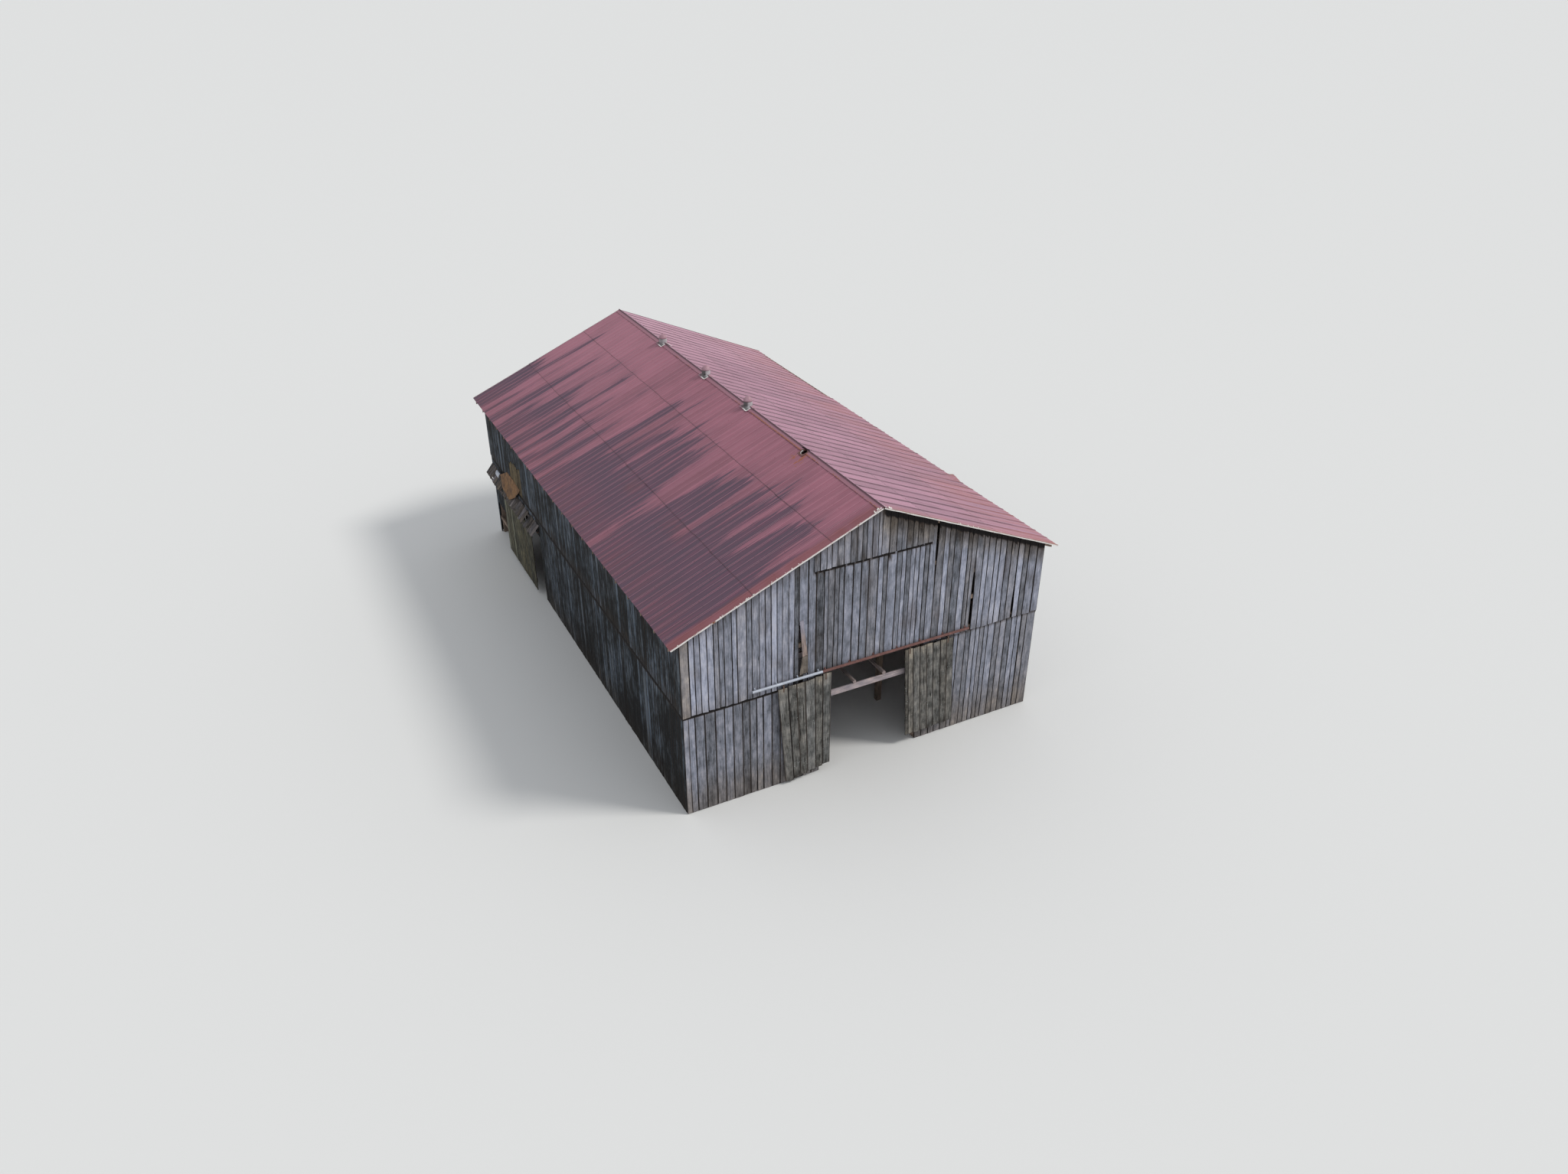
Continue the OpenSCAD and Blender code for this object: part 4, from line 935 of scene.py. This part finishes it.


# Ridge cap in lapped lengths: two flanges in the colour of the roof and a rolled top, with painted
# shade on the roll's left side and painted highlight on the left flange
def ridge_cap():
    heap = Heap()
    r = random.Random(121)
    roll = [(cos(t) * 0.021, sin(t) * 0.021 + 0.004)
            for t in (radians(200 - 22 * k) for k in range(11))]
    lengths = 7
    step = 2 * ROOF_Y / lengths
    flange = [CAP_W * k for k in (1.0, 0.86, 0.60, 0.33)]
    over = 0.0190 / COS_P
    for i in range(lengths):
        ya, yb = -ROOF_Y + i * step - (0.06 if i else 0), -ROOF_Y + (i + 1) * step
        stations = 160 if ya < BROKEN_Y < yb else 30
        key = r.uniform(0, 40)
        verts, grain, tones, marks = [], [], [], []
        for k in range(stations + 1):
            y = lerp(ya, yb, k / stations)
            lift = 0.003 * (k / stations) + 0.0015
            rusty = 0.42 + 0.75 * smooth(-2.1, -3.0, y) * smooth(-7.6, -6.9, y)
            rusty += 0.4 * smooth(-9.2, -10.6, y) + 0.6 * rough(y * 1.1, 3.0)
            ring = []
            for x in flange:
                edge = 1.0 if x > CAP_W * 0.9 else 0.0
                jag = 0.010 * rough(y * 5.0, 2.0) * edge
                flap = 0.008 * max(0, rough(y * 1.3, 6.0)) * edge + 0.002 * rough(y * 3, x * 20)
                ring.append((-x + jag, roof_at(x) + over + lift + flap, 0.25 * (1 - edge),
                             max(0.0, rusty) * smooth(0.58, 0.88, x / CAP_W)))
            # The roll's left side is made black as painted shade
            for px, pz in roll:
                ring.append((px, RIDGE + 0.0225 + pz + lift + 0.002 * rough(y * 2, 8.0),
                             1.0 if px < 0.004 else 0.25, 0.10))
            for x in reversed(flange):
                ring.append((x, roof_at(x) + over + lift + 0.002 * rough(y * 3, x * 20), 0.0, 0.0))
            ring += [(x, z - 0.0015, 0.0, 0.0) for x, z, _, _ in reversed(ring)]
            for x, z, dark, rust in ring:
                verts.append((x, y, z))
                grain.append((y, abs(x), key))
                tones.append((0.0, rust * 0.8, 0.45 if x > 0.03 else 0.0))
                # The left flange is made pale as painted highlight
                marks.append((0.0, 0.0 if x > 0 else 0.9, dark * 0.95))
        m = len(ring)
        keep, mats = [], []
        for f in quads(stations, m, True):
            p = [verts[j] for j in f]
            cx = sum(q[0] for q in p) / 4
            if cx > -0.022 or not any(in_hole(q) for q in p):
                keep.append(f)
                mats.append(1 if cx > 0.024 else 0)
        for k, flip in ((0, False), (stations, True)):
            for j in range(m // 2 - 1):
                q = (k * m + j, k * m + j + 1, k * m + m - 2 - j, k * m + m - 1 - j)
                keep.append(q if flip else tuple(reversed(q)))
                mats.append(0)
        heap.add(verts, keep, grain, tones, mats, marks)
    return heap


ridge_cap().build("ridge_cap_lengths", [red_left, red_right], "ridge_metal", ["ridge_cap"],
                  angle=40)


# A torn flake on a rake; its corners are shares of its size, down the slope and inward
def flake(heap, side, end, s, size, y, corners, mat=0):
    heap.add([slope_place(side, end * (y - inward * size), s + down * size, w)
              for down, inward, w in corners], [(0, 1, 2, 3)], mat=mat)


# Rake strips: pale with torn flakes, and rusty and ragged over a pale strip at the right front
def rakes():
    heap = Heap()
    r = random.Random(131)
    n, m = 60, 7
    for side, end in ((-1, -1), (-1, 1), (1, -1), (1, 1)):
        verts = []
        rusty = side > 0 and end < 0
        for k in range(n + 1):
            s = lerp(0.03, SLOPE_L - 0.006, k / n)
            dy = 0.002 * rough(s * 3, side * 5.0 + end)
            drop = 0.034 + 0.010 * rough(s * 2.1, 17.0 + side)
            lap = 0.016 + 0.016 * max(0.0, rough(s * 4.0, 21.0 + side))
            lap += 0.045 + 0.045 * rough(s * 5.0, 4.0) if rusty else 0.0
            for y, w in ((ROOF_Y - lap, 0.006), (ROOF_Y - 0.001 + dy, 0.007),
                         (ROOF_Y + dy, 0.004), (ROOF_Y - 0.001 + dy * 2, -drop),
                         (ROOF_Y - 0.004 + dy * 2, -drop), (ROOF_Y - 0.005 + dy, 0.002),
                         (ROOF_Y - lap, 0.003)):
                verts.append(slope_place(side, end * min(y, ROOF_Y), s, w + 0.004))
        for k in range(n):
            cut, faces = verts[k * m:(k + 2) * m], quads(1, m, True)
            if rusty:
                heap.add(cut, faces[:2], mat=1)
                heap.add(cut, faces[2:])
            else:
                heap.add(cut, faces)
        for _ in range(30 if side < 0 else 26):
            if side < 0:
                s = r.uniform(0.5, 7.4) if r.random() < 0.3 else r.gauss(4.6, 1.1)
            else:
                s = r.uniform(0.2, 6.5) ** 0.9
            size, y = r.uniform(0.02, 0.06), ROOF_Y - r.uniform(0.0, 0.03)
            h = r.uniform(0.006, 0.026)
            flake(heap, side, end, min(max(s, 0.1), SLOPE_L - 0.15), size, y,
                  ((0, 0, 0.013), (1, 0, 0.013), (0.6, 0.5, 0.013 + h),
                   (0.2, 0.4, 0.013 + h * 0.7)), 0 if side < 0 or r.random() < 0.35 else 1)
        for _ in range(9 if end < 0 else 0):
            s, size = r.uniform(0.03, 0.30), r.uniform(0.04, 0.09)
            flake(heap, side, end, s, size, ROOF_Y - r.uniform(0.0, 0.10),
                  ((0, 0, 0.015), (1, 0, 0.018), (0.6, 0.7, 0.02 + r.uniform(0.0, 0.035)),
                   (0.1, 0.5, 0.02 + r.uniform(0.0, 0.02))))
    return heap


rakes().build("rake_strips", [white_trim, worn_trim], "pale_trim", ["rake_trim"], angle=40)


# Round solids turned from a profile of radius and height, with painted shade on the side away from
# the sun
def turned(heap, centre, profile, mat=0, dent=0.0, seed=0.0, stain_and_shade=0.0):
    cx, cy, cz = centre
    sides = 40
    verts, tones = [], []
    for rad, z in profile:
        for k in range(sides):
            t = 2 * pi * k / sides
            q = rad * (1 + dent * rough(cos(t) * 1.3 + seed, sin(t) * 1.3, z * 5))
            verts.append((cx + q * cos(t), cy + q * sin(t), cz + z))
            # Painted shade on the side away from the sun
            tones.append((0.0, 0.0, stain_and_shade * smooth(0.10, 0.42, -cos(t + 0.25))))
    heap.add(verts, tube(len(profile) - 1, sides), tone=tones, mat=mat)


# Material numbers of the ventilators' pieces: zinc, pale flashing, black painted shade, paint or
# rust
ZINC, PALE, SHADE_BLACK, PAINT = range(4)
VENTS = (6.050, 1.690, -2.010)
SEAT, BODY_R, HAT_R, VENT_H = 0.060, 0.160, 0.172, 0.320
SADDLE_FOOT, SADDLE_L = CAP_W + 0.050, 2 * BODY_R + 0.230
PALE_SIDE, PALE_SPREAD = radians(-141), 0.62


# Painted flashing from a round neck down to both slopes, worn pale toward the left front, with
# painted shade on its left side
def skirt(heap, y, neck, top, seed=0.0):
    sides, levels = 64, (0.0, 0.33, 0.66, 1.0, 1.0, 2.0)
    verts, mats, tones = [], [], []
    for j, t in enumerate(levels):
        for k in range(sides):
            a = 2 * pi * k / sides
            c, n = cos(a), sin(a)
            square = 1 / max(abs(c) / (SADDLE_FOOT + 0.022), abs(n) / (SADDLE_L / 2 + 0.015))
            inner = max(neck + 0.012, square - 0.045)
            rad = lerp(neck, inner, t) if t <= 1 else square
            rad *= 1 + 0.02 * t * rough(c * 2 + seed, n * 2, seed)
            x = rad * c
            z = lerp(RIDGE + top, roof_at(x) + 0.034, smooth(0, 1, min(t, 1.0) ** 0.7))
            verts.append((x, y + rad * n, max(z, roof_at(x) + 0.032)))
            # The flashing's left side is darkened as painted shade
            tones.append((0.0, 0.0, 0.9 * smooth(0.02, 0.14, -x) if j < 4 else 0.0))
    for j in range(len(levels) - 1):
        for k in range(sides):
            toward = cos(2 * pi * (k + 0.5) / sides - PALE_SIDE)
            worn = PALE if j == 4 else ZINC
            mats.append(PAINT if toward < PALE_SPREAD or j == 3 else worn)
    heap.add(verts, quads(len(levels) - 1, sides, True), tone=tones, mat=mats)


def vents():
    heap = Heap()
    body, brim = VENT_H * 0.43, VENT_H * 0.48
    for i, y in enumerate(VENTS):
        centre = (0, y, RIDGE + SEAT)
        skirt(heap, y, BODY_R + 0.004, SEAT * 0.75, seed=i * 4.0)
        # The bodies carry painted shade on the side away from the sun, less on the rear one
        turned(heap, centre, [(BODY_R, -0.10), (BODY_R, body * 0.5), (BODY_R - 0.002, body),
                              (BODY_R - 0.03, body)],
               dent=0.03, seed=i * 9.0, stain_and_shade=0.97 if i else 0.45)
        # A black cylinder in the slot under the hat paints the shade there
        turned(heap, centre, [(BODY_R * 0.75, body - 0.01), (BODY_R * 0.75, brim + 0.005)], SHADE_BLACK)
        turned(heap, centre, [(BODY_R * 0.6, brim), (HAT_R - 0.004, brim),
                              (HAT_R - 0.002, brim + 0.012), (HAT_R * 0.90, brim + 0.05),
                              (HAT_R * 0.70, VENT_H * 0.80), (HAT_R * 0.42, VENT_H * 0.93),
                              (HAT_R * 0.1, VENT_H - 0.004), (0.004, VENT_H - 0.002)],
               PAINT, dent=0.02, seed=i * 5.0)
    # A strip of the rear one's flashing hangs loose
    strip = [(0.04, -0.17, 0.075), (0.16, -0.22, 0.050), (0.24, -0.42, 0.045),
             (0.14, -0.46, 0.055), (0.02, -0.26, 0.080)]
    verts = [(x, VENTS[0] + dy, roof_at(x) + up) for x, dy, up in strip]
    edge = [(k, (k + 1) % 5, 5 + (k + 1) % 5, 5 + k) for k in range(5)]
    heap.add(verts + [(x, y, z - 0.004) for x, y, z in verts],
             [(0, 1, 2, 3, 4), (9, 8, 7, 6, 5)] + edge, mat=PALE)
    return heap


vents().build("ridge_ventilators", [vent_zinc, flashing, shade_black.mat, hat_paint], "vent_metal",
              ["ridge_vents"])


# The lost ventilator leaves an open hole, a stained flashing, a curb and a strip over the ridge
def broken_vent():
    heap = Heap()
    open_to = degrees(acos((-0.028 - BROKEN_X) / BROKEN_R))
    n = 60
    flat, curb = [], []
    for k in range(n + 1):
        deg = lerp(open_to, 360 - open_to, k / n)
        c, s = cos(radians(deg)), sin(radians(deg))
        reach = 1 / max(-c / 0.172, c / 0.092, abs(s) / 0.162)
        reach *= 1 + 0.06 * rough(c * 3, s * 3, 1.0)
        for rad in (BROKEN_R, lerp(BROKEN_R, reach, 0.5), reach):
            x = BROKEN_X + rad * c
            bumps = 0.003 * rough(c * 4, s * 4, rad * 9)
            flat.append((x, BROKEN_Y + rad * s, roof_at(x) + 0.0255 + bumps))
        jag = 0.030 + 0.008 * rough(c * 3, s * 3, 2.0)
        for rad, z in ((BROKEN_R - 0.001, -0.02), (BROKEN_R, jag), (BROKEN_R + 0.006, jag),
                       (BROKEN_R + 0.007, 0.02)):
            x = BROKEN_X + rad * c
            curb.append((x, BROKEN_Y + rad * s, roof_at(x) + z))
    for verts, m, is_curb in ((flat, 3, False), (curb, 4, True)):
        for k in range(n):
            white = is_curb and 0.12 < k / n < 0.58
            heap.add(verts[k * m:(k + 2) * m], quads(1, m), mat=PALE if white else PAINT)
    # The strip over the roll, made black as painted shade
    a = radians(104)
    verts = []
    for k in range(13):
        t = lerp(-0.23, 0.23, k / 12)
        for w in (-0.022, 0.022):
            z = RIDGE + 0.0545 + 0.004 * rough(t * 8, w * 9) + 0.03 * smooth(-0.10, -0.23, t)
            verts.append((-0.018 + t * cos(a) - w * sin(a),
                          BROKEN_Y + t * sin(a) + w * cos(a), z))
    heap.add(verts + [(x, y, z - 0.006) for x, y, z in verts], two_sided(quads(12, 2), 26, 0),
             mat=SHADE_BLACK)
    return heap


broken_vent().build("broken_ventilator", [vent_zinc, flashing, shade_black.mat, rust_red], "vent_metal",
                    ["broken_vent"])

# The leaves of the front doors: boards between two leaning edges, ledges behind
DOOR_TOP, LEDGE_H, LEDGE_T = 4.0, 0.15, 0.024
LEDGES = (0.85, 2.18, 3.515)
DOOR_FACE = -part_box("left_front_door")[0][1] - BOARD


def door_place(left, right):
    def place(u, v, w):
        t = v / DOOR_TOP
        return lerp(lerp(left[1], left[0], t), lerp(right[1], right[0], t), u), -DOOR_FACE - w, v
    return place


def door_shade(u, v, light, warm):
    ragged = smooth(0.42, 0.0, DOOR_TOP - v + 0.25 * rough(u * 14, 3.0))
    stain_and_shade = 0.35 * smooth(0.7, 0.2, v + 0.3 * rough(u * 9, 1.0))
    return (light * 0.9 + 2.2 * ragged - 0.3 * smooth(0.9, 0.1, v),
            0.30 + 0.5 * warm + 0.5 * ragged, stain_and_shade)


# A leaf from the top and foot of its two edges, its board joints, and its two ragged ends
def leaf(name, left, right, cuts, tops, feet, body, node, seed, warm=0.0):
    heap = Heap()
    place = door_place(left, right)
    r = random.Random(seed)
    for a, b in zip(cuts, cuts[1:]):
        key = r.randrange(10 ** 6)
        light, w = r.gauss(0, 0.8), r.random() * 0.8 + warm
        lowest = lerp(*feet, (a + b) / 2) + r.uniform(-0.015, 0.03)
        highest = lerp(*tops, (a + b) / 2) + r.uniform(-0.055, -0.004)
        board(heap, place, a + 0.0026, b - 0.0026, lowest, highest, seed=key, step=0.25,
              ragged=0.02, bow=0.0, wander=0.0022, cup=0.0, joint=JOINT,
              tone=lambda u, v, l=light, q=w: door_shade(u, v, l, q))
    for z in LEDGES:
        board(heap, lambda u, v, w, z=z: place(v, z + u, w - BOARD), 0.0, LEDGE_H, 0.004, 0.996,
              LEDGE_T, seed=r.randrange(10 ** 6), step=0.1, tone=(0.2, 0.8, 0.2), **TRUE)
    heap.build(name, [door_wood], "door_wood", [node], body)


leaf("left_leaf_boards", (-3.494, -3.181), (-1.572, -1.5555),
     [0.0, 0.185, 0.345, 0.50, 0.69, 0.835, 1.0], (3.910, 4.000), (0.075, 0.365),
     "left_leaf", "left_front_door", 141)
leaf("right_leaf_boards", (1.172, 1.442), (3.083, 3.360),
     [0.0, 0.065, 0.17, 0.31, 0.45, 0.58, 0.73, 0.86, 1.0], (4.000, 3.945), (0.400, 0.435),
     "right_leaf", "right_front_door", 151, 0.1)

# The side door's leaf
(SIDE_OUT, SIDE_Y0, SIDE_Z0), (_, SIDE_Y1, SIDE_Z1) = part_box("side_door")
SIDE_FACE = -SIDE_OUT - BOARD
heap = boarding(left_side(SIDE_FACE), random_edges(SIDE_Y0, SIDE_Y1, 161), SIDE_Z0 + 0.01,
                SIDE_Z1 - 0.008, 162,
                lambda u, v, l, w: (l - 0.3, 0.5 + 0.5 * w, 0.3 * smooth(0.5, 0, v)),
                gap=0.008, bow=0.0, cup=0.0, ragged=RAGGED, joint=JOINT)
for z in (0.545, 1.575, 2.665):
    board(heap, lambda u, v, w, z=z: (-SIDE_FACE + BOARD - w, v, z + u), 0.0, LEDGE_H,
          SIDE_Y0 + 0.005, SIDE_Y1 - 0.005, LEDGE_T, seed=round(z * 100), step=0.6,
          tone=(0.2, 0.8, 0.2), **TRUE)
heap.build("side_leaf_boards", [leaf_wood], "door_wood", ["side_door"], "side_leaf")

# The hood over the side door track: short boards that fall outward, some broken off
HOOD_Y0, HOOD_Y1, HOOD_Z, HOOD_OUT, HOOD_DROP = 3.83, 10.91, 3.49, 0.370, 0.450
HOOD_GAP = (4.995, 5.25)
HOOD_A = atan(HOOD_DROP / HOOD_OUT)
HOOD_LEN = hypot(HOOD_OUT, HOOD_DROP)


def hood_place(u, v, w):
    c, n = cos(HOOD_A), sin(HOOD_A)
    return max(-LIMIT_X, -LOWER_W - v * c - w * n), u, HOOD_Z - v * n + w * c


heap = Heap()
r = random.Random(171)
y = HOOD_Y0
while y < HOOD_Y1 - 0.05:
    width = min(r.uniform(0.15, 0.27), HOOD_Y1 - y)
    whole = HOOD_LEN - 0.02 + r.uniform(-0.07, 0.0)
    if r.random() < 0.2:
        whole *= r.uniform(0.55, 0.85)
    key, light, warm = r.randrange(10 ** 6), r.gauss(0, 1), r.random()
    if not HOOD_GAP[0] < y + width / 2 < HOOD_GAP[1] + 0.06:
        board(heap, hood_place, y + 0.005, y + width - 0.005, 0.0, whole, 0.018, seed=key,
              step=0.1, ragged=0.03, tone=(light, 0.3 + 0.7 * warm, 0.1))
    y += width
for v in (0.06, HOOD_LEN - 0.13):
    board(heap, lambda u, q, w, v=v: hood_place(q, v + u, w - 0.001), 0.0, 0.08, HOOD_Y0 + 0.01,
          HOOD_Y1 - 0.01, 0.004, seed=5, step=0.8, tone=(0, 0.6, 0.3), bow=0, wander=0, cup=0)
# A curled scrap of zinc lies on the hood
curl = []
for k in range(9):
    a, t = radians(20 + 150 * k / 8), k / 8
    curl += [(-LOWER_W - 0.13 - 0.10 * cos(a), y + 0.06 * t,
              HOOD_Z - 0.06 + 0.20 * sin(a) + 0.05 * t) for y in (9.10, 9.60)]
heap.add(curl + [(x + 0.002, y, z - 0.002) for x, y, z in curl], two_sided(quads(8, 2), 18, 0),
         mat=1)
heap.build("hood_boards", [hood_wood, zinc], "hood_wood", ["side_door_hood"])

# The rusted sheet on the hood, from its height to its two edges as shares of its length
RUSTY_LEFT = [(0.0, 0.42), (0.42, 0.17), (0.97, 0.0), (1.0, 0.40)]
RUSTY_RIGHT = [(0.0, 0.46), (0.10, 0.80), (0.52, 1.0), (1.0, 0.69)]


def along(points, t):
    for (a, x), (b, z) in zip(points, points[1:]):
        if t <= b:
            return lerp(x, z, (t - a) / (b - a))


lo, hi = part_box("rusty_sheet")
rows, cols = 22, 20
verts = []
for k in range(rows + 1):
    t = k / rows
    a, b = (lerp(lo[1] + 0.02, hi[1] - 0.02, along(side, t)) for side in (RUSTY_LEFT, RUSTY_RIGHT))
    for j in range(cols + 1):
        u = j / cols
        edge = min(u, 1 - u, t + 0.05, 1.05 - t)
        y = lerp(a, b, u) + 0.03 * rough(t * 6, u * 2, 3.0) * (1 if 0 < j < cols else 1.6)
        x = lerp(lo[0] + 0.004, hi[0] - 0.006, t)
        x -= 0.012 * rough(y * 2.0, t * 3, 5.0) * smooth(0, 0.1, t)
        x -= 0.03 * max(0, rough(y * 1.2, t * 1.5, 8.0)) * smooth(0.02, 0.2, edge)
        z = lerp(lo[2] + 0.01, hi[2] - 0.01, t) + 0.012 * rough(y * 3, t * 2, 1.0)
        verts.append((max(x, lo[0] - 0.01), y, z))
count = len(verts)
heap = Heap()
heap.add(verts + [(x + 0.002, y, z) for x, y, z in verts],
         two_sided(quads(rows, cols + 1), count) + rim(rows, cols + 1, count),
         [(y, z, 2.0) for _, y, z in verts] * 2)
heap.build("rusted_sheet", [rust_sheet], "rust_sheet", ["rusty_sheet"], angle=60)

# Round poles with a little crook and taper, and the rails that carry them
(_, POLE_Y0, POLE_Z0), (_, POLE_Y1, _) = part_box("tier_poles")
heap = Heap()
for px, seed, rad in ((-0.595, 3.0, 0.058), (0.520, 8.0, 0.068)):
    n, sides = 16, 14
    verts, grain = [], []
    for k in range(n + 1):
        t = k / n
        y = lerp(POLE_Y0 + 0.005, POLE_Y1 - 0.005, t)
        cx, rr = px + 0.012 * rough(t * 2, seed), rad * lerp(1.0, 0.9, t)
        for j in range(sides):
            a = 2 * pi * j / sides
            q = rr * (1 + 0.05 * rough(cos(a) * 2 + seed, sin(a) * 2, t * 5))
            verts.append((cx + q * cos(a), y, POLE_Z0 + rr + q * sin(a) + 0.001))
            grain.append((a * rad, y, seed))
    ends = [tuple(range(sides)), tuple(range((n + 1) * sides - 1, n * sides - 1, -1))]
    heap.add(verts, quads(n, sides, True) + ends, grain, (0.6, 0.8, 0.0))
heap.build("poles_wood", [pale_wood], "pole_wood", ["tier_poles"], angle=50)

RAIL_T = 0.05
(RAIL_X0, RAIL_Y0, RAIL_Z0), (RAIL_X1, RAIL_Y1, RAIL_Z1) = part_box("tier_rails")
heap = Heap()
for y0, light in ((RAIL_Y0, 1.6), (RAIL_Y1 - RAIL_T, 0.0)):
    board(heap, lambda u, v, w, y0=y0: (v, y0 + RAIL_T - w, RAIL_Z0 + u), 0.0, RAIL_Z1 - RAIL_Z0,
          RAIL_X0, RAIL_X1, RAIL_T, seed=round(y0 * -10), step=0.35, bow=0.0, wander=0.003,
          cup=0.001, ragged=0.0, tone=(light, 0.55, 0.0))
heap.build("rails_wood", [pale_wood], "pole_wood", ["tier_rails"])

# CAD pieces that keep their shape get their finish here
for names, material in (
        (("gable_posts", "outer_posts", "inner_posts"), inner["z"]),
        (("tie_beams", "left_rafters", "right_rafters", "front_girts", "back_girts"), inner["x"]),
        (("side_plates", "inner_plates", "roof_battens", "side_girts"), inner["y"]),
        (("left_door_track",), zinc), (("right_door_track",), rust_red),
        (("side_door_track", "left_door_hangers", "right_door_hangers", "side_door_hangers"),
         iron)):
    for n in names:
        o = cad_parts[n]
        o.data.materials.clear()
        o.data.materials.append(material)

# Floor, light and camera; the camera is the one solved from the photograph
FLOOR_X, FLOOR_Y0, FLOOR_Y1, FLOOR_Z = 700, -700, 900, -0.002
SKY_COLOUR, SKY_STRENGTH = (0.93, 0.96, 1.0, 1), 0.62
SUN_TOWARD, SUN_ENERGY, SUN_ANGLE, SUN_COLOUR = (-0.66, 0.42, -0.80), 1.55, 14, (1.0, 0.98, 0.94)
CAMERA_AT = (-16.453, -36.433, 24.255)
CAMERA_RIGHT = Vector((0.88745419, -0.4608915, 0.0020214))
CAMERA_DOWN = Vector((-0.2313878, -0.4493255, -0.86288254))
CAMERA_AHEAD = Vector((0.3986035, 0.765301, -0.50540047))
FOCAL_PX, PHOTO_W, SENSOR, CLIP_END = 1466.68, 2048, 36, 2000

paint = Shade("studio_floor_paint", 0.95, specular=0.1)
paint.set("Base Color", (0.80, 0.80, 0.79, 1))
mesh = bpy.data.meshes.new("studio_floor")
mesh.from_pydata([(-FLOOR_X, FLOOR_Y0, FLOOR_Z), (FLOOR_X, FLOOR_Y0, FLOOR_Z),
                  (FLOOR_X, FLOOR_Y1, FLOOR_Z), (-FLOOR_X, FLOOR_Y1, FLOOR_Z)], [], [(0, 1, 2, 3)])
mesh.materials.append(paint.mat)
floor = new_object("studio_floor", mesh)

world = bpy.data.worlds.new("studio")
bpy.context.scene.world = world
world.use_nodes = True
tree = world.node_tree
tree.nodes.clear()
out, ambient, seen, path, both = (tree.nodes.new("ShaderNode" + kind) for kind in (
    "OutputWorld", "Background", "Background", "LightPath", "MixShader"))
for node, colour, strength in ((ambient, SKY_COLOUR, SKY_STRENGTH), (seen, (1, 1, 1, 1), 1.0)):
    node.inputs[0].default_value = colour
    node.inputs[1].default_value = strength
for source, target in ((path.outputs["Is Camera Ray"], both.inputs[0]),
                       (ambient.outputs[0], both.inputs[1]), (seen.outputs[0], both.inputs[2]),
                       (both.outputs[0], out.inputs[0])):
    tree.links.new(source, target)

sun = bpy.data.lights.new("key", "SUN")
sun.energy = SUN_ENERGY
sun.angle = radians(SUN_ANGLE)
sun.color = SUN_COLOUR
new_object("key", sun).rotation_euler = (-Vector(SUN_TOWARD)).to_track_quat("Z", "Y").to_euler()

cam_data = bpy.data.cameras.new("camera")
cam_data.sensor_width = SENSOR
cam_data.lens = FOCAL_PX / PHOTO_W * SENSOR
cam_data.clip_end = CLIP_END
camera = new_object("camera", cam_data)
turn = Matrix((CAMERA_RIGHT, -CAMERA_DOWN, -CAMERA_AHEAD)).transposed().to_4x4()
camera.matrix_world = Matrix.Translation(CAMERA_AT) @ turn
bpy.context.scene.camera = camera

bpy.context.scene.view_settings.view_transform = "Standard"
